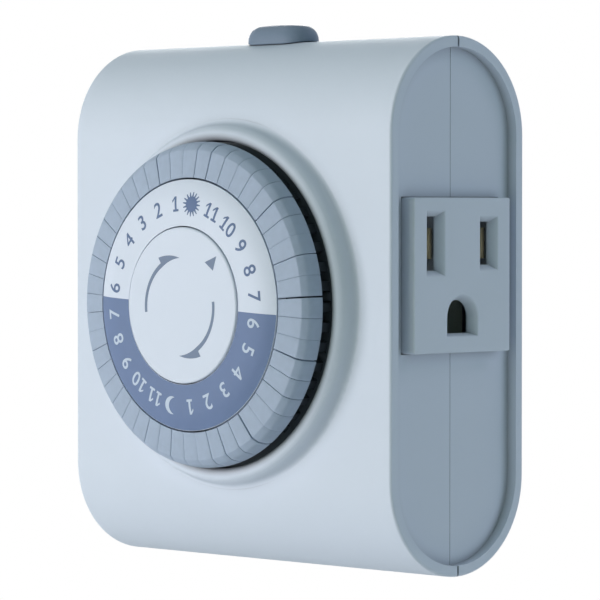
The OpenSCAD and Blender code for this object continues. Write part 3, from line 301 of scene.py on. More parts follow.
class MaterialSheet:
    """A material while its nodes are laid out."""

    # Rays that measure how hemmed in a place is, and the open shares between which the painted
    # corner shade deepens
    SKY_SAMPLES: ClassVar[int] = 8
    SKY_SPAN: ClassVar[Point2] = (0.15, 0.95)

    def __init__(self, name: str) -> None:
        """Start a material with one surface shader.

        Args:
            name: Name of the material.
        """
        self.material = bpy.data.materials.new(name)
        self.material.use_nodes = True
        self.tree = self.material.node_tree
        self.shader = self.tree.nodes["Principled BSDF"]
        self.place = make_node(self.tree, "ShaderNodeTexCoord").outputs["Object"]

    def group(self, tree: bpy.types.NodeTree, **values: float) -> bpy.types.Node:
        """Place a shader group on the object's own coordinates.

        Args:
            tree: The group.
            **values: Values of its inputs, with underscores for spaces.

        Returns:
            The group's node.
        """
        node = make_node(self.tree, "ShaderNodeGroup", node_tree=tree)
        self.tree.links.new(self.place, node.inputs["Vector"])
        for name, value in values.items():
            node.inputs[name.replace("_", " ")].default_value = value
        return node

    def tinted(self, colour: Colour, tint: Socket) -> Socket:
        """Multiply a colour by a value that varies over the surface.

        Args:
            colour: Linear colour.
            tint: Socket that gives the value.

        Returns:
            Socket of the tinted colour.
        """
        mix = make_node(self.tree, "ShaderNodeVectorMath", operation="SCALE")
        mix.inputs[0].default_value = colour
        self.tree.links.new(tint, mix.inputs[3])
        return mix.outputs[0]

    def lowered(self, value: Socket, along: Socket, span: Point2, shares: Point2) -> Socket:
        """Multiply a value by a share that changes along another value.

        Args:
            value: Socket that gives the value.
            along: Socket of the value that the share changes along.
            span: Where the change starts and ends on it.
            shares: Share before and after the change.

        Returns:
            Socket of the product.
        """
        share = make_node(
            self.tree, "ShaderNodeMapRange", i1=span[0], i2=span[1], i3=shares[0], i4=shares[1]
        )
        self.tree.links.new(along, share.inputs[0])
        product = make_node(self.tree, "ShaderNodeMath", operation="MULTIPLY")
        self.tree.links.new(value, product.inputs[0])
        self.tree.links.new(share.outputs[0], product.inputs[1])
        return product.outputs[0]

    def fading(self, value: Socket, start_mm: float, end_mm: float, left: float) -> Socket:
        """Lower a value along the object's own Y; it paints shade deep in a part, such as on the
        tappets' stems.

        Args:
            value: Socket that gives the value.
            start_mm: Place where the value is still whole.
            end_mm: Place from which only the share that is left stays.
            left: That share.

        Returns:
            Socket of the lowered value.
        """
        split = make_node(self.tree, "ShaderNodeSeparateXYZ")
        self.tree.links.new(self.place, split.inputs[0])
        return self.lowered(value, split.outputs[1], (start_mm * MM, end_mm * MM), (1.0, left))

    def rimmed(self, value: Socket, whole_mm: float, low_mm: float, left: float) -> Socket:
        """Lower a value towards the dial's axis, so that it is low at the rim of the dial's well;
        it is painted shade on the bezel's inner lip, next to the dial.

        Args:
            value: Socket that gives the value.
            whole_mm: Radius from which the value is whole.
            low_mm: Radius within which only the share that is left stays.
            left: That share.

        Returns:
            Socket of the lowered value.
        """
        flat = make_node(self.tree, "ShaderNodeVectorMath", operation="MULTIPLY")
        flat.inputs[1].default_value = (1.0, 0.0, 1.0)
        self.tree.links.new(self.place, flat.inputs[0])
        radius = make_node(self.tree, "ShaderNodeVectorMath", operation="LENGTH")
        self.tree.links.new(flat.outputs[0], radius.inputs[0])
        span = (low_mm * MM, whole_mm * MM)
        return self.lowered(value, radius.outputs["Value"], span, (left, 1.0))

    def creviced(self, value: Socket, reach_mm: float, left: float) -> Socket:
        """Lower a value where the surface is hemmed in: painted shade in corners, creases and
        recesses.

        Args:
            value: Socket that gives the value.
            reach_mm: How near the hemming surface is.
            left: Share that stays in the tightest corner.

        Returns:
            Socket of the lowered value.
        """
        sky = make_node(self.tree, "ShaderNodeAmbientOcclusion", samples=self.SKY_SAMPLES)
        sky.inputs["Distance"].default_value = reach_mm * MM
        return self.lowered(value, sky.outputs["AO"], self.SKY_SPAN, (left, 1.0))

    def wire(self, socket: Socket, name: str) -> None:
        """Join a socket to an input of the surface shader."""
        self.tree.links.new(socket, self.shader.inputs[name])

    def bump(self, height: Socket, depth_mm: float) -> None:
        """Turn a height into a bumped normal.

        Args:
            height: Socket that gives the height from 0 to 1.
            depth_mm: Depth of the relief.
        """
        node = make_node(self.tree, "ShaderNodeBump")
        node.inputs["Strength"].default_value = 1.0
        node.inputs["Distance"].default_value = depth_mm * MM
        self.tree.links.new(height, node.inputs["Height"])
        self.wire(node.outputs[0], "Normal")


@dataclass(frozen=True)
class MouldedPlastic:
    """An injection-moulded plastic."""

    name: str
    colour: Colour
    roughness: float = 0.45
    grain_per_mm: float = 4.0
    flow_per_mm: float = 0.05
    depth_mm: float = 0.004
    roughness_spread: float = 0.12
    tint_spread: float = 0.03
    dust: float = 0.02
    specular: float = 0.5
    # painted shade: darker deep along the part's own Y, on the tappets' stems
    grime_y: tuple[float, float] | None = None
    grime_left: float = 0.23
    # painted shade in corners and creases, from an ambient occlusion node
    crevice_mm: float = 0.0
    crevice_left: float = 0.4
    # painted shade round the dial's well, on the bezel's inner lip
    rim_mm: tuple[float, float] | None = None
    rim_left: float = 0.5

    def build(self, groups: GroupLibrary) -> bpy.types.Material:
        """Make the material.

        Args:
            groups: The shared shader groups.

        Returns:
            The material.
        """
        sheet = MaterialSheet(self.name)
        texture = sheet.group(
            groups.mould,
            Grain_per_mm=self.grain_per_mm,
            Flow_per_mm=self.flow_per_mm,
            Roughness=self.roughness,
            Roughness_spread=self.roughness_spread,
            Tint_spread=self.tint_spread,
        )
        dust = sheet.group(groups.dust, Amount=self.dust)
        tint = texture.outputs["Tint"]
        # painted shade deep on the tappets' stems
        if self.grime_y:
            tint = sheet.fading(tint, *self.grime_y, self.grime_left)
        # painted shade on the bezel's inner lip
        if self.rim_mm:
            tint = sheet.rimmed(tint, *self.rim_mm, self.rim_left)
        # painted shade in corners and creases
        if self.crevice_mm:
            tint = sheet.creviced(tint, self.crevice_mm, self.crevice_left)
        tinted = sheet.tinted(self.colour, tint)
        sheet.tree.links.new(tinted, dust.inputs["Colour"])
        sheet.wire(dust.outputs["Colour"], "Base Color")
        sheet.wire(texture.outputs["Roughness"], "Roughness")
        sheet.shader.inputs["Specular IOR Level"].default_value = self.specular
        sheet.bump(texture.outputs["Height"], self.depth_mm)
        return sheet.material


@dataclass(frozen=True)
class SheetMetal:
    """A stamped, drawn or turned metal."""

    name: str
    colour: Colour
    roughness: float = 0.3
    lines_per_mm: float = 14.0
    depth_mm: float = 0.002
    roughness_spread: float = 0.25
    line_scale: tuple[float, float, float] = (1.0, 0.08, 1.0)

    def build(self, groups: GroupLibrary) -> bpy.types.Material:
        """Make the material.

        Args:
            groups: The shared shader groups.

        Returns:
            The material.
        """
        sheet = MaterialSheet(self.name)
        stretch = make_node(sheet.tree, "ShaderNodeMapping", vector_type="POINT")
        stretch.inputs["Scale"].default_value = self.line_scale
        sheet.tree.links.new(sheet.place, stretch.inputs["Vector"])
        grain = sheet.group(
            groups.metal,
            Lines_per_mm=self.lines_per_mm,
            Roughness=self.roughness,
            Roughness_spread=self.roughness_spread,
        )
        sheet.tree.links.new(stretch.outputs[0], grain.inputs["Vector"])
        sheet.wire(sheet.tinted(self.colour, grain.outputs["Tint"]), "Base Color")
        sheet.wire(grain.outputs["Roughness"], "Roughness")
        sheet.shader.inputs["Metallic"].default_value = 1.0
        sheet.bump(grain.outputs["Height"], self.depth_mm)
        return sheet.material


@dataclass(frozen=True)
class PrintedInk:
    """A thin layer of pad-printed ink."""

    name: str
    colour: Colour
    roughness: float = 0.6
    specular: float = 0.25
    grain_per_mm: float = 9.0
    flow_per_mm: float = 0.4
    roughness_spread: float = 0.1
    tint_spread: float = 0.12
    depth_mm: float = 0.002

    def build(self, groups: GroupLibrary) -> bpy.types.Material:
        """Make the material.

        Args:
            groups: The shared shader groups.

        Returns:
            The material.
        """
        sheet = MaterialSheet(self.name)
        sheet.shader.inputs["Specular IOR Level"].default_value = self.specular
        texture = sheet.group(
            groups.mould,
            Grain_per_mm=self.grain_per_mm,
            Flow_per_mm=self.flow_per_mm,
            Roughness=self.roughness,
            Roughness_spread=self.roughness_spread,
            Tint_spread=self.tint_spread,
        )
        sheet.wire(sheet.tinted(self.colour, texture.outputs["Tint"]), "Base Color")
        sheet.wire(texture.outputs["Roughness"], "Roughness")
        sheet.bump(texture.outputs["Height"], self.depth_mm)
        return sheet.material


@dataclass(frozen=True)
class WoundTape:
    """The taped winding of the motor."""

    name: str
    colour: Colour
    turns_per_mm: float = 2.2
    roughness: float = 0.35
    flow_per_mm: float = 0.3
    tint_spread: float = 0.25
    depth_mm: float = 0.05

    def build(self, groups: GroupLibrary) -> bpy.types.Material:
        """Make the material.

        Args:
            groups: The shared shader groups.

        Returns:
            The material.
        """
        sheet = MaterialSheet(self.name)
        texture = sheet.group(
            groups.mould,
            Roughness=self.roughness,
            Tint_spread=self.tint_spread,
            Flow_per_mm=self.flow_per_mm,
        )
        sheet.wire(sheet.tinted(self.colour, texture.outputs["Tint"]), "Base Color")
        sheet.wire(texture.outputs["Roughness"], "Roughness")
        turns = make_node(sheet.tree, "ShaderNodeTexWave", bands_direction="Y")
        turns.inputs["Scale"].default_value = self.turns_per_mm / MM / WAVE_FACTOR
        sheet.tree.links.new(sheet.place, turns.inputs["Vector"])
        sheet.bump(turns.outputs["Fac"], self.depth_mm)
        return sheet.material


@dataclass(frozen=True)
class Finishes:
    """Every finish of the timer, by the material slot that it dresses."""

    housing: MouldedPlastic = MouldedPlastic(
        "pale_housing_plastic",
        (0.66, 0.70, 0.80),
        roughness=0.6,
        depth_mm=0.003,
        specular=0.32,
        # painted shade in corners and creases
        crevice_mm=1.9,
        crevice_left=0.4,
    )
    shell: MouldedPlastic = MouldedPlastic(
        "pale_shell_plastic",
        (0.66, 0.70, 0.80),
        roughness=0.6,
        depth_mm=0.003,
        specular=0.32,
        # painted shade in corners and creases
        crevice_mm=2.6,
        crevice_left=0.55,
        # painted shade on the bezel's inner lip, next to the dial
        rim_mm=(28.4, 27.3),
        rim_left=0.55,
    )
    insert: MouldedPlastic = MouldedPlastic(
        "outlet_plastic",
        (0.66, 0.70, 0.79),
        roughness=0.58,
        depth_mm=0.003,
        specular=0.35,
        # painted shade in corners and creases
        crevice_mm=2.0,
        crevice_left=0.5,
    )
    tappet: MouldedPlastic = MouldedPlastic(
        "tappet_plastic",
        (0.375, 0.435, 0.555),
        roughness=0.6,
        flow_per_mm=0.8,
        depth_mm=0.0015,
        tint_spread=0.16,
        dust=0.0,
        specular=0.25,
        # painted shade deep on the tappets' stems, in the gap under the tappets
        grime_y=(-36.65, -35.9),
    )
    dial: MouldedPlastic = MouldedPlastic(
        "dial_plastic",
        (0.69, 0.725, 0.835),
        roughness=0.58,
        depth_mm=0.0015,
        grain_per_mm=3.0,
        specular=0.3,
    )
    # near-black, partly painted shade: as dark as the painted shade on the tappets' stems, so the
    # shaded gap under the tappets reads black
    carrier: MouldedPlastic = MouldedPlastic("carrier_plastic", (0.08, 0.097, 0.118), roughness=0.6)
    knob: MouldedPlastic = MouldedPlastic(
        "knob_plastic", (0.185, 0.235, 0.315), roughness=0.5, specular=0.2
    )
    resin: MouldedPlastic = MouldedPlastic("inner_resin", (0.52, 0.55, 0.48), roughness=0.55)
    acetal: MouldedPlastic = MouldedPlastic("gear_acetal", (0.74, 0.71, 0.62), roughness=0.4)
    brass: SheetMetal = SheetMetal("strip_brass", (0.62, 0.60, 0.46), roughness=0.5)
    plated: SheetMetal = SheetMetal("plated_brass", (0.66, 0.58, 0.40), roughness=0.24)
    steel: SheetMetal = SheetMetal("zinc_steel", (0.52, 0.53, 0.55), roughness=0.32)
    coil: WoundTape = WoundTape("taped_winding", (0.32, 0.08, 0.03))
    cap_ink: PrintedInk = PrintedInk("cap_ink", (0.19, 0.235, 0.34))
    grey_ink: PrintedInk = PrintedInk("grey_ink", (0.125, 0.175, 0.31))
    white_ink: PrintedInk = PrintedInk("white_ink", (0.56, 0.62, 0.74))
    night_ink: PrintedInk = PrintedInk("night_ink", (0.158, 0.213, 0.365))


class Wardrobe:
    """Builds each finish the first time that a piece asks for it."""

    def __init__(self, finishes: Finishes, groups: GroupLibrary) -> None:
        """Keep the finishes and the groups.

        Args:
            finishes: The finishes to choose from.
            groups: The shared shader groups.
        """
        self.finishes = finishes
        self.groups = groups
        self.made: dict[str, bpy.types.Material] = {}

    def material(self, name: str) -> bpy.types.Material:
        """Give the material of a finish.

        Args:
            name: Field name of the finish.

        Returns:
            The material, built on first use.
        """
        if name not in self.made:
            self.made[name] = getattr(self.finishes, name).build(self.groups)
        return self.made[name]

    def dress_node(self, node: bpy.types.Object, name: str) -> None:
        """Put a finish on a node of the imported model.

        Args:
            node: The node's object.
            name: Field name of the finish.
        """
        material = self.material(name)
        if not node.material_slots:
            node.data.materials.append(material)
        for place in node.material_slots:
            place.material = material


# ---- Mesh helpers


def dial_matrix(front_y: float) -> Matrix:
    """Give the matrix from the dial's own frame to the part's frame.

    Args:
        front_y: Place of the front face along Y, in metres.

    Returns:
        Matrix that takes X right, Y up and Z out of the front face, in metres.
    """
    return Matrix.Translation((0.0, front_y, 0.0)) @ Matrix.Rotation(math.pi / 2, 4, "X")


def clock_point(radius: float, clock: float) -> Vector:
    """Give a point of the dial's plane.

    Args:
        radius: Distance from the dial's axis.
        clock: Angle clockwise from the top, in degrees.

    Returns:
        The point, with a height of zero.
    """
    turn = math.radians(clock)
    return Vector((radius * math.sin(turn), radius * math.cos(turn), 0.0))


def finish_mesh(
    form: Form,
    name: str,
    place: Matrix,
    crease_degrees: float = 32.0,
    merge: float = 1e-4,
    turned: bool = False,
) -> bpy.types.Object:
    """Turn a form in millimetres into a smooth-shaded object at the origin.

    Args:
        form: The form, which is freed.
        name: Name of the piece.
        place: Matrix from the form's own frame to the part's frame, in metres.
        crease_degrees: Edges that turn more than this stay sharp.
        merge: Vertices closer than this are joined, in millimetres.
        turned: True for a form whose faces already point the right way.

    Returns:
        The new object.
    """
    bmesh.ops.remove_doubles(form, verts=form.verts, dist=merge)
    if not turned:
        bmesh.ops.recalc_face_normals(form, faces=form.faces)
    form.transform(place @ Matrix.Scale(MM, 4))
    mesh = bpy.data.meshes.new(name)
    form.to_mesh(mesh)
    form.free()
    if "custom_normal" in mesh.attributes:
        mesh.attributes.remove(mesh.attributes["custom_normal"])
    mesh.shade_smooth()
    mesh.set_sharp_from_angle(angle=math.radians(crease_degrees))
    piece = bpy.data.objects.new(name, mesh)
    bpy.context.scene.collection.objects.link(piece)
    return piece


def add_box(form: Form, low: Vector, high: Vector) -> list[bmesh.types.BMVert]:
    """Add a box between two corners.

    Args:
        form: Form that gets the box.
        low: Lowest corner.
        high: Highest corner.

    Returns:
        The box's vertices.
    """
    size = Vector(high) - Vector(low)
    middle = (Vector(high) + Vector(low)) / 2
    place = Matrix.Translation(middle) @ Matrix.Diagonal((*size, 1.0))
    return bmesh.ops.create_cube(form, size=1.0, matrix=place)["verts"]


def add_polygon(form: Form, points: list[Vector]) -> bmesh.types.BMFace:
    """Add one face from a few points.

    Args:
        form: Form that gets the face.
        points: Its corners in order.

    Returns:
        The face.
    """
    return form.faces.new([form.verts.new(point) for point in points])


def slice_grid(form: Form, half: float, step: float, start: float = 0.013) -> None:
    """Cut a flat form by lines both ways, so that it can follow a curved surface.

    Args:
        form: The form, flat in its own X and Y.
        half: Half of the stretch that is cut, each way.
        step: Distance between the cuts.
        start: Place of the middle cut.
    """
    count = int(half / step)
    for axis in (Vector((1, 0, 0)), Vector((0, 1, 0))):
        for index in range(-count, count + 1):
            geometry = form.verts[:] + form.edges[:] + form.faces[:]
            middle = axis * (index * step + start)
            bmesh.ops.bisect_plane(form, geom=geometry, dist=1e-5, plane_co=middle, plane_no=axis)


def form_of(node: bpy.types.Object, merge: float) -> Form:
    """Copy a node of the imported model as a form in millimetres.

    Args:
        node: The node's object.
        merge: Vertices closer than this are joined, in millimetres.

    Returns:
        The form.
    """
    form = bmesh.new()
    form.from_mesh(node.data)
    form.transform(Matrix.Scale(1 / MM, 4))
    bmesh.ops.remove_doubles(form, verts=form.verts, dist=merge)
    return form


def absorb(form: Form, other: Form) -> None:
    """Move one form's geometry into another.

    Args:
        form: Form that grows.
        other: Form that is emptied and freed.
    """
    mesh = bpy.data.meshes.new("absorbed")
    other.to_mesh(mesh)
    other.free()
    form.from_mesh(mesh)
    bpy.data.meshes.remove(mesh)


def soften(form: Form, edges: list[bmesh.types.BMEdge], radius: float, segments: int) -> None:
    """Round a few edges of a form.

    Args:
        form: The form.
        edges: The edges.
        radius: Radius of the rounding.
        segments: Flats that make up the rounding.
    """
    bmesh.ops.bevel(
        form, geom=edges, offset=radius, segments=segments, profile=0.5, affect="EDGES", material=-1
    )


def face_up(form: Form) -> None:
    """Turn every face of a flat sheet towards +Z."""
    for face in form.faces:
        face.normal_update()
        if face.normal.z < 0:
            face.normal_flip()


def thicken(form: Form, depth: float) -> None:
    """Give a sheet that faces +Z a thickness, upwards.

    Args:
        form: The sheet.
        depth: Thickness.
    """
    grown = bmesh.ops.extrude_face_region(form, geom=form.faces[:])["geom"]
    moved = [item for item in grown if isinstance(item, bmesh.types.BMVert)]
    bmesh.ops.translate(form, verts=moved, vec=(0.0, 0.0, depth))


# ---- The ring of tappets


@dataclass
class TappetRing:
    """Forty-eight half-hour tappets round the dial, two to an hour."""

    count: int = 48
    turn: float = 11.1
    inner_r: float = 20.9
    outer_r: float = 26.8
    inner_h: float = 8.8
    brow: Point2 = (25.45, 8.2)
    shoulder: Point2 = (26.4, 7.25)
    side_h: float = 5.7
    back_h: float = 4.7
    stem_r: float = 23.85
    stem_depth: float = 2.8
    stem_w: float = 1.5
    stem_back_h: float = -2.6
    narrow_gap: float = 0.05
    wide_gap: float = 0.2
    edge_r: float = 0.08
    brow_round: float = 0.18
    shoulder_round: float = 0.35
    wide_after: tuple[int, ...] = (0, 5, 10, 13, 18, 20, 44)
    gap_share: float = 0.6
    arc_steps: int = 4
    stem_overlap: float = 0.3
    lift_spread: float = 0.03
    lean_degrees: float = 0.09

    def profile(self) -> list[Vector]:
        """Give a tappet's section through the dial's axis, as radius and height."""
        return [
            Vector((0.0, radius, height))
            for radius, height in (
                (self.inner_r, self.back_h),
                (self.outer_r, self.back_h),
                (self.outer_r, self.side_h),
                self.shoulder,
                self.brow,
                (self.inner_r, self.inner_h),
            )
        ]

    def add_tappet(self, form: Form, index: int, draws: random.Random) -> None:
        """Add one tappet to a form, in the dial's frame.

        Args:
            form: The form.
            index: Number of the tappet, clockwise from the first after the top.
            draws: Seeded source of the small differences between tappets.
        """
        pitch = 360.0 / self.count
        seat = self.inner_r + (self.outer_r - self.inner_r) * self.gap_share
        near = self.wide_gap if index in self.wide_after else self.narrow_gap
        far = self.wide_gap if (index + 1) % self.count in self.wide_after else self.narrow_gap
        start = self.turn + index * pitch + math.degrees(near / 2 / seat)
        sweep = self.turn + (index + 1) * pitch - math.degrees(far / 2 / seat) - start
        single = bmesh.new()
        face = add_polygon(single, self.profile())
        geometry = [face, *face.edges, *face.verts]
        bmesh.ops.spin(
            single,
            geom=geometry,
            cent=(0, 0, 0),
            axis=(0, 0, -1),
            angle=math.radians(sweep),
            steps=self.arc_steps,
        )
        bmesh.ops.recalc_face_normals(single, faces=single.faces)
        for ring, offset in ((self.shoulder, self.shoulder_round), (self.brow, self.brow_round)):
            soften(single, self.ring_edges(single, ring), offset, 3)
        sides = self.side_edges(single, 0.0) + self.side_edges(single, sweep)
        soften(single, sides, self.edge_r, 2)
        half = self.stem_w / 2
        middle = math.radians(sweep / 2)
        stem = add_box(
            single,
            Vector((-half, self.stem_r - self.stem_depth / 2, self.stem_back_h)),
            Vector((half, self.stem_r + self.stem_depth / 2, self.back_h + self.stem_overlap)),
        )
        turn = Matrix.Rotation(-middle, 3, "Z")
        bmesh.ops.rotate(single, verts=stem, cent=(0, 0, 0), matrix=turn)
        lift = draws.uniform(-self.lift_spread, self.lift_spread)
        lean = draws.uniform(-self.lean_degrees, self.lean_degrees)
        single.transform(
            Matrix.Translation((0, 0, lift)) @ Matrix.Rotation(-math.radians(start + lean), 4, "Z")
        )
        absorb(form, single)

    @staticmethod
    def ring_edges(
        form: Form, ring: Point2, tolerance: float = 0.01
    ) -> list[bmesh.types.BMEdge]:
        """Find the edges that run round the dial at one radius and height.

        Args:
            form: A tappet.
            ring: The radius and the height.
            tolerance: How far off an edge may be, in millimetres.

        Returns:
            The edges.
        """
        return [
            edge
            for edge in form.edges
            if all(
                abs(math.hypot(*vert.co.xy) - ring[0]) < tolerance
                and abs(vert.co.z - ring[1]) < tolerance
                for vert in edge.verts
            )
        ]

    def side_edges(self, form: Form, clock: float) -> list[bmesh.types.BMEdge]:
        """Find the front edges of one of a tappet's two sides.

        Args:
            form: A single tappet that starts at the top.
            clock: Clockwise angle of the side, in degrees.

        Returns:
            The edges that lie in that side's plane, apart from those at its back.
        """
        normal = clock_point(1.0, clock + 90.0)
        return [
            edge
            for edge in form.edges
            if all(abs(vert.co.dot(normal)) < 1e-3 for vert in edge.verts)
            and max(vert.co.z for vert in edge.verts) > self.back_h + 0.5
            and len(edge.link_faces) == 2
            and edge.calc_face_angle(0.0) > 0.8
        ]

    def build(self, wardrobe: Wardrobe, place: Matrix) -> list[bpy.types.Object]:
        """Make one piece for the two tappets of each hour.

        Args:
            wardrobe: Gives the finishes.
            place: Matrix of the dial's frame.

        Returns:
            The pieces.
        """
        draws = random.Random(24)
        pieces = []
        for hour in range(1, self.count // 2 + 1):
            form = bmesh.new()
            for index in (2 * hour - 2, 2 * hour - 1):
                self.add_tappet(form, index, draws)
            piece = finish_mesh(form, f"tappet_pair_form_{hour:02d}", place)
            piece.data.materials.append(wardrobe.material("tappet"))
            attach(piece, f"tappet_pair_{hour:02d}")
            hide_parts(f"tappets_{hour:02d}")
            pieces.append(piece)
        return pieces


# ---- The hour print


class Mark(Enum):
    """Signs of noon and midnight on the hour ring."""

    SUN = "sun"
    MOON = "moon"


@dataclass
class HourPrint:
    """Numerals, noon and midnight marks and the night band on the crowned dial face."""

    outer_r: float = 20.6
    edge_h: float = 8.85
    crown_h: float = 10.05
    flat_r: float = 16.0
    ink_t: float = 0.02
    ring_r: float = 16.65
    first_clock: float = 9.2
    night_clock: float = 93.3
    band_inner_r: float = 13.03
    band_outer_r: float = 20.55
    numeral_h: float = 2.5
    glyph_h: float = 0.69
    narrow: float = 0.98
    pair_pitch: float = 1.75
    bold: float = 0.04
    drawn: ClassVar[dict[str, tuple[tuple[Point2, ...], ...]]] = {
        "1": (
            ((-0.085, -0.5), (0.085, -0.5), (0.085, 0.5), (-0.085, 0.5)),
            ((-0.085, 0.5), (-0.3, 0.26), (-0.3, 0.11), (-0.085, 0.33)),
            ((-0.25, -0.5), (-0.085, -0.5), (-0.085, -0.35), (-0.25, -0.35)),
            ((0.085, -0.5), (0.25, -0.5), (0.25, -0.35), (0.085, -0.35)),
        ),
        "4": (
            ((-0.34, -0.19), (0.1, -0.19), (0.1, -0.04), (-0.15, -0.04), (-0.34, -0.1)),
            ((-0.34, -0.1), (-0.15, -0.04), (0.1, 0.26), (0.1, 0.46)),
            ((0.1, -0.5), (0.27, -0.5), (0.27, 0.5), (0.13, 0.5), (0.1, 0.46)),
            ((0.27, -0.19), (0.35, -0.19), (0.35, -0.04), (0.27, -0.04)),
        ),
    }
    sun_core_r: float = 1.28
    sun_ray_r: float = 2.0
    sun_ray_w: tuple[float, float] = (0.36, 0.16)
    sun_rays: int = 16
    moon_r: tuple[float, float] = (1.5, 1.42)
    moon_shift: float = 0.82
    hour_degrees: float = 15.0
    sun_turn: float = 2.0
    mark_gap: float = 0.004
    band_gap: float = 0.002

    def height(self, radius: float) -> float:
        """Give the face's height in front of the housing at a radius."""
        run = self.outer_r - self.flat_r
        rise = self.crown_h - self.edge_h
        crown_r = (run * run + rise * rise) / (2 * rise)
        away = max(0.0, radius - self.flat_r)
        return self.crown_h - crown_r + math.sqrt(crown_r * crown_r - away * away)

    def lay_on_face(self, form: Form, level: float) -> None:
        """Bend a flat layer of ink on to the crowned face.

        Args:
            form: The layer, in the dial's frame, whose Z is the place within the ink's thickness.
            level: Height of the layer's underside above the face.
        """
        for vert in form.verts:
            vert.co.z += self.height(math.hypot(vert.co.x, vert.co.y)) + level

    def digit(self, letter: str) -> Form:
        """Make one flat digit, centred, with its top towards +Y.

        Args:
            letter: The digit.

        Returns:
            The digit's form, in millimetres.
        """
        form = bmesh.new()
        if letter in self.drawn:
            for outline in self.drawn[letter]:
                add_polygon(form, [Vector((x, y, 0.0)) * self.numeral_h for x, y in outline])
            return form
        curve = bpy.data.curves.new("digit", "FONT")
        curve.body = letter
        curve.size = self.numeral_h / self.glyph_h
        curve.resolution_u = 5
        curve.offset = self.bold
        holder = bpy.data.objects.new("digit", curve)
        bpy.context.scene.collection.objects.link(holder)
        bpy.context.view_layer.update()
        graph = bpy.context.evaluated_depsgraph_get()
        mesh = bpy.data.meshes.new_from_object(holder.evaluated_get(graph))
        form.from_mesh(mesh)
        bpy.data.objects.remove(holder)
        bpy.data.curves.remove(curve)
        bpy.data.meshes.remove(mesh)
        xs = [vert.co.x for vert in form.verts]
        ys = [vert.co.y for vert in form.verts]
        middle = Vector(((min(xs) + max(xs)) / 2, (min(ys) + max(ys)) / 2, 0.0))
        form.transform(Matrix.Diagonal((self.narrow, 1.0, 1.0, 1.0)) @ Matrix.Translation(-middle))
        return form

    def numeral(self, text: str) -> Form:
        """Make a numeral of one or two digits, centred.

        Args:
            text: The numeral.

        Returns:
            The numeral's form.
        """
        form = bmesh.new()
        start = -self.pair_pitch * (len(text) - 1) / 2
        for place, letter in enumerate(text):
            single = self.digit(letter)
            single.transform(Matrix.Translation((start + place * self.pair_pitch, 0, 0)))
            absorb(form, single)
        return form

    def sun(self) -> Form:
        """Make the noon mark: a disc with pointed rays."""
        form = bmesh.new()
        bmesh.ops.create_circle(form, cap_ends=True, segments=32, radius=self.sun_core_r)
        root, tip = (width / 2 for width in self.sun_ray_w)
        for ray in range(self.sun_rays):
            clock = 360.0 * ray / self.sun_rays
            out = clock_point(1.0, clock)
            across = clock_point(1.0, clock + 90.0)
            start, end = out * self.sun_core_r * 0.99, out * self.sun_ray_r
            wide, slim = across * root, across * tip
            add_polygon(form, [start + wide, end + slim, end - slim, start - wide])
        return form

    def moon(self) -> Form:
        """Make the midnight mark: a crescent whose back is towards the later hours."""
        form = bmesh.new()
        outer_r, inner_r = self.moon_r
        shift, steps = self.moon_shift, 16
        horn_x = (outer_r**2 - inner_r**2 + shift**2) / (2 * shift)
        horn_y = math.sqrt(outer_r**2 - horn_x**2)
        outer_clock = math.degrees(math.atan2(-horn_x, horn_y))
        inner_clock = math.degrees(math.atan2(shift - horn_x, horn_y))
        rows = []
        for step in range(steps + 1):
            share = step / steps
            back = clock_point(outer_r, outer_clock + (180.0 - 2 * outer_clock) * share)
            hollow = clock_point(inner_r, inner_clock + (180.0 - 2 * inner_clock) * share)
            rows.append((form.verts.new(back), form.verts.new(hollow - Vector((shift, 0, 0)))))
        for here, there in zip(rows, rows[1:]):
            form.faces.new((here[0], there[0], there[1], here[1]))
        bmesh.ops.remove_doubles(form, verts=form.verts, dist=1e-4)
        return form

    def placed(self, form: Form, clock: float, level: float) -> Form:
        """Turn a mark to its hour, bend it on to the face and give it thickness.

        Args:
            form: The flat mark, centred.
            clock: Its hour's angle, clockwise from the top.
            level: Height of the ink's underside above the face.

        Returns:
            The same form.
        """
        bmesh.ops.triangulate(form, faces=form.faces)
        slice_grid(form, 2.4, 0.6)
        bmesh.ops.remove_doubles(form, verts=form.verts, dist=1e-4)
        face_up(form)
        thicken(form, self.ink_t)
        form.transform(
            Matrix.Rotation(-math.radians(clock), 4, "Z") @ Matrix.Translation((0, self.ring_r, 0))
        )
        self.lay_on_face(form, level)
        return form

    def hours(self) -> list[str | Mark]:
        """List the marks clockwise from noon."""
        count_down = [str(hour) for hour in range(11, 0, -1)]
        return [Mark.SUN, *count_down, Mark.MOON, *count_down]

    def build(self, wardrobe: Wardrobe, place: Matrix) -> list[bpy.types.Object]:
        """Make the night band and the two colours of marks.

        Args:
            wardrobe: Gives the finishes.
            place: Matrix of the dial's frame.

        Returns:
            The pieces.
        """
        pieces = [self.night_band(wardrobe, place)]
        day, night = bmesh.new(), bmesh.new()
        for index, mark in enumerate(self.hours()):
            clock = self.first_clock + self.hour_degrees * index
            if mark is Mark.SUN:
                clock -= self.sun_turn
            if mark is Mark.SUN:
                form = self.sun()
            elif mark is Mark.MOON:
                form = self.moon()
            else:
                form = self.numeral(mark)
            in_band = self.night_clock < clock < self.night_clock + 180.0
            level = self.ink_t if in_band else 0.0
            absorb(night if in_band else day, self.placed(form, clock, level + self.mark_gap))
        for form, name, finish in (
            (day, "hour_marks_day", "grey_ink"),
            (night, "hour_marks_night", "white_ink"),
        ):
            piece = finish_mesh(form, name, place, merge=1e-5)
            piece.data.materials.append(wardrobe.material(finish))
            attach(piece, Body.DIAL.value)
            pieces.append(piece)
        return pieces

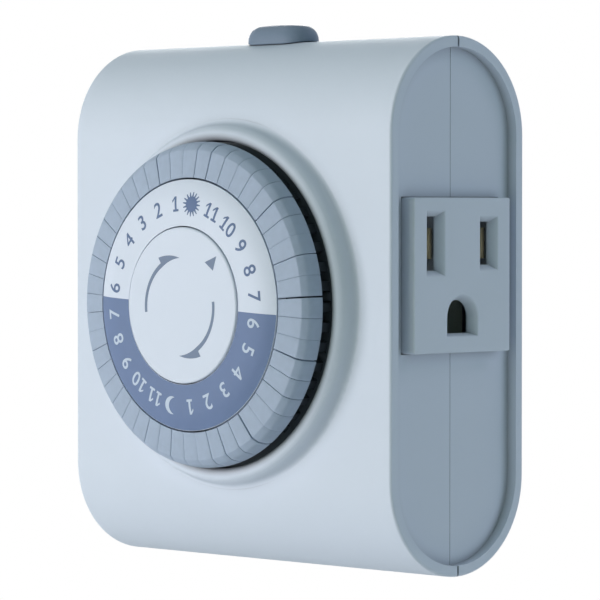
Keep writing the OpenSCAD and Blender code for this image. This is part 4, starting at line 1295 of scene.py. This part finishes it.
    def night_band(self, wardrobe: Wardrobe, place: Matrix) -> bpy.types.Object:
        """Make the printed half ring of the night hours.

        Args:
            wardrobe: Gives the finishes.
            place: Matrix of the dial's frame.

        Returns:
            The piece.
        """
        form = bmesh.new()
        steps = 10
        run = self.band_outer_r - self.band_inner_r
        verts = [
            form.verts.new(clock_point(self.band_inner_r + run * step / steps, self.night_clock))
            for step in range(steps + 1)
        ]
        edges = [form.edges.new(pair) for pair in zip(verts, verts[1:])]
        bmesh.ops.spin(
            form, geom=verts + edges, cent=(0, 0, 0), axis=(0, 0, -1), angle=math.pi, steps=90
        )
        face_up(form)
        thicken(form, self.ink_t)
        self.lay_on_face(form, self.band_gap)
        piece = finish_mesh(form, "night_band", place, merge=1e-5)
        piece.data.materials.append(wardrobe.material("night_ink"))
        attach(piece, Body.DIAL.value)
        return piece


# ---- The fixed cap's print


@dataclass
class CapPrint:
    """The time pointer and the two turning arrows on the fixed cap."""

    top_h: float = 10.35
    ink_t: float = 0.02
    ring_r: float = 8.0
    ring_at: Point2 = (-0.45, -0.25)
    stroke_w: tuple[float, float] = (0.56, 0.74)
    barb: float = 1.05
    tail_clocks: tuple[float, float] = (263.0, 83.0)
    sweep: float = 97.5
    head_sweep: float = 32.5
    pointer: tuple[Point2, Point2, Point2] = ((8.25, 8.1), (5.55, 7.1), (7.45, 5.75))
    ink_gap: float = 0.003

    def arrow(self, form: Form, tail_clock: float) -> None:
        """Add one curved arrow that runs clockwise.

        Args:
            form: Form that gets the arrow.
            tail_clock: Angle of its tail.
        """
        steps, body = 40, self.sweep - self.head_sweep
        middle = Vector((*self.ring_at, 0.0))
        thin, thick = (width / 2 for width in self.stroke_w)
        rows: list[tuple[float, float, float]] = []
        for step in range(steps + 1):
            half = thin + (thick - thin) * (step / steps) ** 2
            rows.append((body * step / steps, -half, half))
        for step in range(steps + 1):
            left = 1.0 - step / steps
            turn = body + self.head_sweep * step / steps
            rows.append((turn, -thick * left, (thick + self.barb) * left))
        pairs = [
            (
                form.verts.new(middle + clock_point(self.ring_r + inner, tail_clock + turn)),
                form.verts.new(middle + clock_point(self.ring_r + outer, tail_clock + turn)),
            )
            for turn, inner, outer in rows
        ]
        for start in (0, steps + 1):
            run = pairs[start : start + steps + 1]
            for here, there in zip(run, run[1:]):
                form.faces.new((here[0], here[1], there[1], there[0]))

    def build(self, wardrobe: Wardrobe, place: Matrix) -> bpy.types.Object:
        """Make the print.

        Args:
            wardrobe: Gives the finishes.
            place: Matrix of the dial's frame.

        Returns:
            The piece.
        """
        form = bmesh.new()
        add_polygon(form, [Vector((*corner, 0.0)) for corner in self.pointer])
        for tail_clock in self.tail_clocks:
            self.arrow(form, tail_clock)
        bmesh.ops.remove_doubles(form, verts=form.verts, dist=1e-4)
        face_up(form)
        thicken(form, self.ink_t)
        form.transform(Matrix.Translation((0, 0, self.top_h + self.ink_gap)))
        piece = finish_mesh(form, "cap_print", place, merge=1e-5)
        piece.data.materials.append(wardrobe.material("cap_ink"))
        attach(piece, Body.HOUSING.value)
        return piece


# ---- The override slide


@dataclass
class OverrideSlide:
    """The pill-shaped slide on top of the housing."""

    length: float = 13.7
    width: float = 7.5
    height: float = 2.85
    centre: tuple[float, float] = (-2.6, -15.9)
    back_z: float = 43.85
    crown: float = 0.3
    top_round: float = 2.3
    foot_round: float = 0.15
    cut_step: float = 0.8
    seat_r: float = 15.9
    stem: tuple[float, float, float] = (2.0, 2.6, 37.04)
    flange: tuple[float, float, float] = (1.4, 1.2, 39.7)
    end_flat: float = 0.02
    stem_overlap: float = 0.2

    def pill(self) -> Form:
        """Make the slide's crown: a box whose ends, top and foot are rounded."""
        form = bmesh.new()
        add_box(
            form,
            Vector((-self.length / 2, -self.width / 2, 0.0)),
            Vector((self.length / 2, self.width / 2, self.height)),
        )
        upright = [
            edge
            for edge in form.edges
            if abs(edge.verts[0].co.z - edge.verts[1].co.z) > self.height / 2
        ]
        soften(form, upright, self.width / 2 - self.end_flat, 14)
        rims = ((self.height, self.top_round, 8), (0.0, self.foot_round, 3))
        for level, radius, segments in rims:
            rim = [
                edge
                for edge in form.edges
                if all(abs(vert.co.z - level) < 1e-4 for vert in edge.verts)
                and any(abs(face.normal.z) < 0.5 for face in edge.link_faces)
            ]
            soften(form, rim, radius, segments)
        slice_grid(form, self.length / 2, self.cut_step, self.cut_step / 2)
        for vert in form.verts:
            rise = vert.co.z / self.height
            drop = self.seat_r - math.sqrt(self.seat_r**2 - vert.co.y**2)
            dome = self.crown * (vert.co.x / self.length * 2) ** 2
            vert.co.z -= drop * max(0.0, 1.0 - rise) + dome * max(0.0, rise)
        return form

    def build(self, wardrobe: Wardrobe) -> bpy.types.Object:
        """Make the slide with its stem and its flange.

        Args:
            wardrobe: Gives the finishes.

        Returns:
            The piece.
        """
        form = self.pill()
        stem_l, stem_w, stem_z = self.stem
        margin, flange_t, flange_z = self.flange
        add_box(
            form,
            Vector((-stem_l / 2, -stem_w / 2, stem_z - self.back_z)),
            Vector((stem_l / 2, stem_w / 2, self.stem_overlap)),
        )
        add_box(
            form,
            Vector((-stem_l / 2 - margin, -stem_w / 2 - margin, flange_z - self.back_z)),
            Vector((stem_l / 2 + margin, stem_w / 2 + margin, flange_z + flange_t - self.back_z)),
        )
        place = Matrix.Translation((self.centre[0] * MM, self.centre[1] * MM, self.back_z * MM))
        piece = finish_mesh(form, "override_slide_form", place, crease_degrees=40.0)
        piece.data.materials.append(wardrobe.material("knob"))
        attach(piece, Body.OVERRIDE.value)
        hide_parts("override_knob")
        return piece


# ---- The outlet


@dataclass
class OutletFace:
    """The receptacle insert, taken from its solid and given soft edges."""

    edge_r: float = 0.22
    flat_degrees: float = 35.0

    def build(self, wardrobe: Wardrobe, node: bpy.types.Object, face_x: float) -> bpy.types.Object:
        """Copy the insert, join its triangles and round the edges of its face.

        Args:
            wardrobe: Gives the finishes.
            node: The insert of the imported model.
            face_x: Place of its face along X, in metres.

        Returns:
            The piece.
        """
        form = form_of(node, 1e-3)
        bmesh.ops.dissolve_limit(
            form,
            angle_limit=math.radians(1.0),
            verts=form.verts,
            edges=form.edges,
            delimit={"NORMAL"},
        )
        front = face_x / MM
        rim = [
            edge
            for edge in form.edges
            if all(abs(vert.co.x - front) < 1e-2 for vert in edge.verts)
            and len(edge.link_faces) == 2
            and edge.calc_face_angle(0.0) > math.radians(self.flat_degrees)
        ]
        soften(form, rim, self.edge_r, 3)
        piece = finish_mesh(form, "outlet_face_form", Matrix.Identity(4), self.flat_degrees)
        piece.data.materials.append(wardrobe.material("insert"))
        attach(piece, Body.HOUSING.value)
        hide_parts("receptacle_insert")
        return piece


# ---- The front shell


@dataclass
class FrontShell:
    """The front housing, taken from its solid, with a softly swept bezel round the dial."""

    face_y: float = -31.8
    crest_r: float = 28.42
    crest_middle: tuple[float, float] = (28.4, 2.9)
    wall_r: tuple[float, float] = (29.2, 29.6)
    well_r: float = 27.5
    foot_r: float = 30.41
    lip_middle: tuple[float, float] = (27.95, 2.45)
    lip_reach: tuple[float, float] = (0.93, 0.75)
    sweep: tuple[tuple[float, float, float], ...] = (
        (0.0, 30.62, 0.0),
        (0.04, 30.38, 0.06),
        (0.15, 30.15, 0.22),
        (0.33, 29.97, 0.45),
        (0.56, 29.83, 0.72),
        (0.95, 29.7, 1.1),
        (1.7, 29.55, 1.6),
        (2.3, 29.38, 2.05),
        (2.85, 29.18, 2.42),
        (3.11, 29.0, 2.7),
        (3.46, 28.7, 2.97),
        (3.71, 28.33, 3.13),
        (3.8, 27.95, 3.2),
    )
    wall_cuts: tuple[float, ...] = (1.1, 1.3, 1.5, 1.7, 1.9, 2.1, 2.3, 2.5, 2.7)
    well_cuts: tuple[float, ...] = (1.9,)
    sliver: float = 0.03
    wall_slack: float = 0.03
    crest_slack: tuple[float, float] = (0.05, 0.02)

    def height(self, vert: bmesh.types.BMVert) -> float:
        """Give how far a vertex stands in front of the housing's face."""
        return self.face_y - vert.co.y

    @staticmethod
    def radius(vert: bmesh.types.BMVert) -> float:
        """Give a vertex's distance from the dial's axis."""
        return math.hypot(vert.co.x, vert.co.z)

    def swept(self, height: float) -> tuple[float, float]:
        """Give where a ring of the straight outer slope goes on the swept one.

        Args:
            height: Height of the ring above the housing's face.

        Returns:
            New radius and height.
        """
        for low, high in zip(self.sweep, self.sweep[1:]):
            if height <= high[0]:
                share = (height - low[0]) / (high[0] - low[0])
                return low[1] + (high[1] - low[1]) * share, low[2] + (high[2] - low[2]) * share
        return self.sweep[-1][1:]

    def rolled(self, radius: float, height: float) -> tuple[float, float]:
        """Give where a ring of the crest's inner quarter goes on the rolled lip.

        Args:
            radius: Radius of the ring.
            height: Height of the ring above the housing's face.

        Returns:
            New radius and height.
        """
        angle = math.atan2(height - self.crest_middle[1], self.crest_middle[0] - radius)
        return (
            self.lip_middle[0] - self.lip_reach[0] * math.cos(angle),
            self.lip_middle[1] + self.lip_reach[1] * math.sin(angle),
        )

    def cut_rings(self, form: Form, span: Point2, levels: tuple[float, ...]) -> None:
        """Cut rings into an upright wall round the dial.

        Args:
            form: The shell, in millimetres.
            span: Least and greatest radius of the wall.
            levels: Heights of the rings above the housing's face.
        """
        for level in levels:
            wall = [
                face
                for face in form.faces
                if all(span[0] < self.radius(vert) < span[1] for vert in face.verts)
                and min(self.height(vert) for vert in face.verts) < level
                and max(self.height(vert) for vert in face.verts) > level
            ]
            edges = {edge for face in wall for edge in face.edges}
            verts = {vert for face in wall for vert in face.verts}
            bmesh.ops.bisect_plane(
                form,
                geom=[*verts, *edges, *wall],
                dist=1e-4,
                plane_co=Vector((0.0, self.face_y - level, 0.0)),
                plane_no=Vector((0.0, 1.0, 0.0)),
            )

    def build(self, wardrobe: Wardrobe, node: bpy.types.Object) -> bpy.types.Object:
        """Copy the shell and sweep the outside of its bezel.

        Args:
            wardrobe: Gives the finishes.
            node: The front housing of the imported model.

        Returns:
            The piece.
        """
        form = form_of(node, 1e-4)
        self.cut_rings(form, self.wall_r, self.wall_cuts)
        well = (self.well_r - self.wall_slack, self.well_r + self.wall_slack)
        self.cut_rings(form, well, self.well_cuts)
        slope_r = self.crest_r - self.crest_slack[0]
        lip_h = self.crest_middle[1] - self.crest_slack[1]
        moved = []
        for vert in form.verts:
            height, radius = self.height(vert), self.radius(vert)
            if height > -1e-3 and slope_r < radius < self.foot_r:
                new_r, new_h = self.swept(max(height, 0.0))
            elif height > lip_h and well[0] < radius < self.foot_r:
                new_r, new_h = self.rolled(radius, height)
            else:
                continue
            x, z = vert.co.x * new_r / radius, vert.co.z * new_r / radius
            vert.co = Vector((x, self.face_y - new_h, z))
            moved.append(vert)
        bmesh.ops.remove_doubles(form, verts=moved, dist=self.sliver)
        piece = finish_mesh(form, "front_shell_form", Matrix.Identity(4), turned=True)
        level = piece.modifiers.new("even_shading", "WEIGHTED_NORMAL")
        level.keep_sharp = True
        piece.data.materials.append(wardrobe.material("shell"))
        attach(piece, Body.HOUSING.value)
        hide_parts("front_housing")
        return piece


# ---- Nodes that keep their shape


@dataclass
class CarriedNodes:
    """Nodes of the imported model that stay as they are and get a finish."""

    finishes: dict[str, tuple[str, ...]]

    @classmethod
    def of_timer(cls) -> CarriedNodes:
        """Give the timer's nodes by their finish."""
        return cls(
            {
                "housing": ("rear_housing",),
                "dial": ("dial_face", "hub_cap"),
                "carrier": ("dial_carrier",),
                "resin": ("contact_block", "plug_carrier", "override_base"),
                "acetal": ("transfer_wheel", "follower_lever"),
                "brass": (
                    "hot_contact",
                    "neutral_contact",
                    "ground_contact",
                    "neutral_bus",
                    "ground_strap",
                    "line_strip",
                    "leaf_contact",
                    "override_bridge",
                    "override_pad_in",
                    "override_pad_out",
                    "drive_pinion",
                    "motor_pinion",
                ),
                "plated": ("hot_blade", "neutral_blade", "ground_pin"),
                "steel": (
                    "housing_screws",
                    "motor_can",
                    "motor_cover",
                    "gear_plate",
                    "plate_screws",
                    "follower_pin",
                ),
                "coil": ("motor_coil",),
            }
        )

    def dress(self, wardrobe: Wardrobe, nodes: dict[str, bpy.types.Object]) -> None:
        """Put the finishes on.

        Args:
            wardrobe: Gives the finishes.
            nodes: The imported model's nodes by name.
        """
        for finish, names in self.finishes.items():
            for name in names:
                wardrobe.dress_node(nodes[name], finish)


# ---- Studio


@dataclass(frozen=True)
class SoftLamp:
    """A square soft box on a sphere round the part, pointing at its middle."""

    name: str
    heading_degrees: float
    rise_degrees: float
    watts: float
    colour: Colour = (1.0, 1.0, 1.0)
    distance: float = 0.75
    size: float = 0.30
    aim_y: float = -0.016

    def build(self) -> bpy.types.Object:
        """Hang the lamp.

        Returns:
            The lamp's object.
        """
        data = bpy.data.lights.new(self.name, "AREA")
        data.shape = "SQUARE"
        data.size = self.size
        data.energy = self.watts
        data.color = self.colour
        lamp = bpy.data.objects.new(self.name, data)
        bpy.context.scene.collection.objects.link(lamp)
        turn, rise = math.radians(self.heading_degrees), math.radians(self.rise_degrees)
        away = Vector(
            (math.sin(turn) * math.cos(rise), -math.cos(turn) * math.cos(rise), math.sin(rise))
        )
        lamp.location = away * self.distance + Vector((0.0, self.aim_y, 0.0))
        lamp.rotation_euler = (-away).to_track_quat("-Z", "Y").to_euler()
        return lamp


@dataclass
class Studio:
    """Camera, lamps, world and a pale floor."""

    camera_at: tuple[float, float, float] = (0.4235, -0.4426, 0.0153)
    heading_degrees: float = 44.6945
    dip_degrees: float = 1.418
    lens_mm: float = 213.96
    ambient: float = 0.21
    ambient_colour: Colour = (0.6, 0.96, 0.82)
    floor_z: float = -0.078
    floor_r: float = 3.0
    fade_from: float = 0.10
    fade_to: float = 0.24
    paleness: float = 0.55
    floor_colour: Colour = (0.86, 0.87, 0.88)
    floor_roughness: float = 0.7
    lamps: tuple[SoftLamp, ...] = (
        SoftLamp("key_lamp", -28.0, 0.0, 3.75, (1.01, 0.99, 1.03)),
        SoftLamp("front_lamp", 0.0, 0.0, 0.75, (1.0, 1.04, 0.86)),
        SoftLamp("side_lamp", 115.0, 0.0, 0.55, (0.84, 0.98, 1.32)),
        SoftLamp("rear_lamp", 135.0, 40.0, 0.57, (1.0, 0.95, 1.25)),
        SoftLamp("top_lamp", 0.0, 89.0, 0.4, (0.9, 1.0, 1.25)),
        SoftLamp("back_lamp", 228.0, 15.0, 2.6),
    )

    def place_camera(self) -> bpy.types.Object:
        """Set the camera at its viewing angle.

        Returns:
            The camera's object.
        """
        data = bpy.data.cameras.new("studio_camera")
        data.lens = self.lens_mm
        data.sensor_width = 36.0
        data.clip_end = 20.0
        camera = bpy.data.objects.new("studio_camera", data)
        bpy.context.scene.collection.objects.link(camera)
        turn, dip = math.radians(self.heading_degrees), math.radians(self.dip_degrees)
        ahead = Vector(
            (-math.sin(turn) * math.cos(dip), math.cos(turn) * math.cos(dip), -math.sin(dip))
        )
        camera.location = self.camera_at
        camera.rotation_euler = ahead.to_track_quat("-Z", "Y").to_euler()
        bpy.context.scene.camera = camera
        return camera

    @staticmethod
    def seen_factor(tree: bpy.types.NodeTree) -> Socket:
        """Give a socket that is 1 for camera, glossy and transmission rays.

        Args:
            tree: Tree that gets the nodes.

        Returns:
            The socket.
        """
        path = make_node(tree, "ShaderNodeLightPath")
        first = make_node(tree, "ShaderNodeMath", operation="MAXIMUM")
        second = make_node(tree, "ShaderNodeMath", operation="MAXIMUM")
        tree.links.new(path.outputs["Is Camera Ray"], first.inputs[0])
        tree.links.new(path.outputs["Is Glossy Ray"], first.inputs[1])
        tree.links.new(first.outputs[0], second.inputs[0])
        tree.links.new(path.outputs["Is Transmission Ray"], second.inputs[1])
        return second.outputs[0]

    def light_world(self) -> None:
        """Give the world its plain light and a white that only the camera and gloss see."""
        world = bpy.data.worlds.new("studio_world")
        bpy.context.scene.world = world
        world.use_nodes = True
        tree = world.node_tree
        light = tree.nodes["Background"]
        light.inputs["Color"].default_value = (*self.ambient_colour, 1.0)
        light.inputs["Strength"].default_value = self.ambient
        white = make_node(tree, "ShaderNodeBackground")
        white.inputs["Color"].default_value = (1.0, 1.0, 1.0, 1.0)
        white.inputs["Strength"].default_value = 1.0
        mix = make_node(tree, "ShaderNodeMixShader")
        tree.links.new(self.seen_factor(tree), mix.inputs[0])
        tree.links.new(light.outputs[0], mix.inputs[1])
        tree.links.new(white.outputs[0], mix.inputs[2])
        tree.links.new(mix.outputs[0], tree.nodes["World Output"].inputs["Surface"])

    def lay_floor(self) -> bpy.types.Object:
        """Lay a round pale floor that fades into the white backdrop.

        Returns:
            The floor.
        """
        form = bmesh.new()
        bmesh.ops.create_circle(form, cap_ends=True, segments=96, radius=self.floor_r / MM)
        floor = finish_mesh(form, "studio_floor", Matrix.Translation((0, 0, self.floor_z)))
        sheet = MaterialSheet("studio_floor")
        tree = sheet.tree
        sheet.shader.inputs["Base Color"].default_value = (*self.floor_colour, 1.0)
        sheet.shader.inputs["Roughness"].default_value = self.floor_roughness
        glow = make_node(tree, "ShaderNodeEmission")
        glow.inputs["Color"].default_value = (1.0, 1.0, 1.0, 1.0)
        distance = make_node(tree, "ShaderNodeVectorMath", operation="LENGTH")
        tree.links.new(sheet.place, distance.inputs[0])
        fade = make_node(
            tree,
            "ShaderNodeMapRange",
            interpolation_type="SMOOTHSTEP",
            i1=self.fade_from,
            i2=self.fade_to,
            i3=self.paleness,
        )
        tree.links.new(distance.outputs["Value"], fade.inputs[0])
        amount = make_node(tree, "ShaderNodeMath", operation="MULTIPLY")
        tree.links.new(fade.outputs[0], amount.inputs[0])
        tree.links.new(self.seen_factor(tree), amount.inputs[1])
        mix = make_node(tree, "ShaderNodeMixShader")
        tree.links.new(amount.outputs[0], mix.inputs[0])
        tree.links.new(sheet.shader.outputs[0], mix.inputs[1])
        tree.links.new(glow.outputs[0], mix.inputs[2])
        tree.links.new(mix.outputs[0], tree.nodes["Material Output"].inputs["Surface"])
        floor.data.materials.append(sheet.material)
        return floor

    def build(self) -> None:
        """Set up the whole studio."""
        self.place_camera()
        self.light_world()
        self.lay_floor()
        for lamp in self.lamps:
            lamp.build()
        bpy.context.scene.view_settings.view_transform = "Standard"


def main() -> None:
    """Build the scene in order and report each piece."""
    logging.basicConfig(level=logging.INFO, format="%(name)s: %(message)s")
    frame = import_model()
    nodes = frame["nodes"]
    wardrobe = Wardrobe(Finishes(), GroupLibrary())
    place = dial_matrix(FRONT_Y)
    Studio().build()
    CarriedNodes.of_timer().dress(wardrobe, nodes)
    pieces = TappetRing().build(wardrobe, place)
    pieces += HourPrint().build(wardrobe, place)
    pieces.append(CapPrint().build(wardrobe, place))
    pieces.append(OverrideSlide().build(wardrobe))
    pieces.append(FrontShell().build(wardrobe, nodes["front_housing"]))
    outlet_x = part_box("receptacle_insert")[1].x
    pieces.append(OutletFace().build(wardrobe, nodes["receptacle_insert"], outlet_x))
    for piece in pieces:
        LOG.info("%s: %d faces", piece.name, len(piece.data.polygons))


if __name__ == "__main__":
    main()
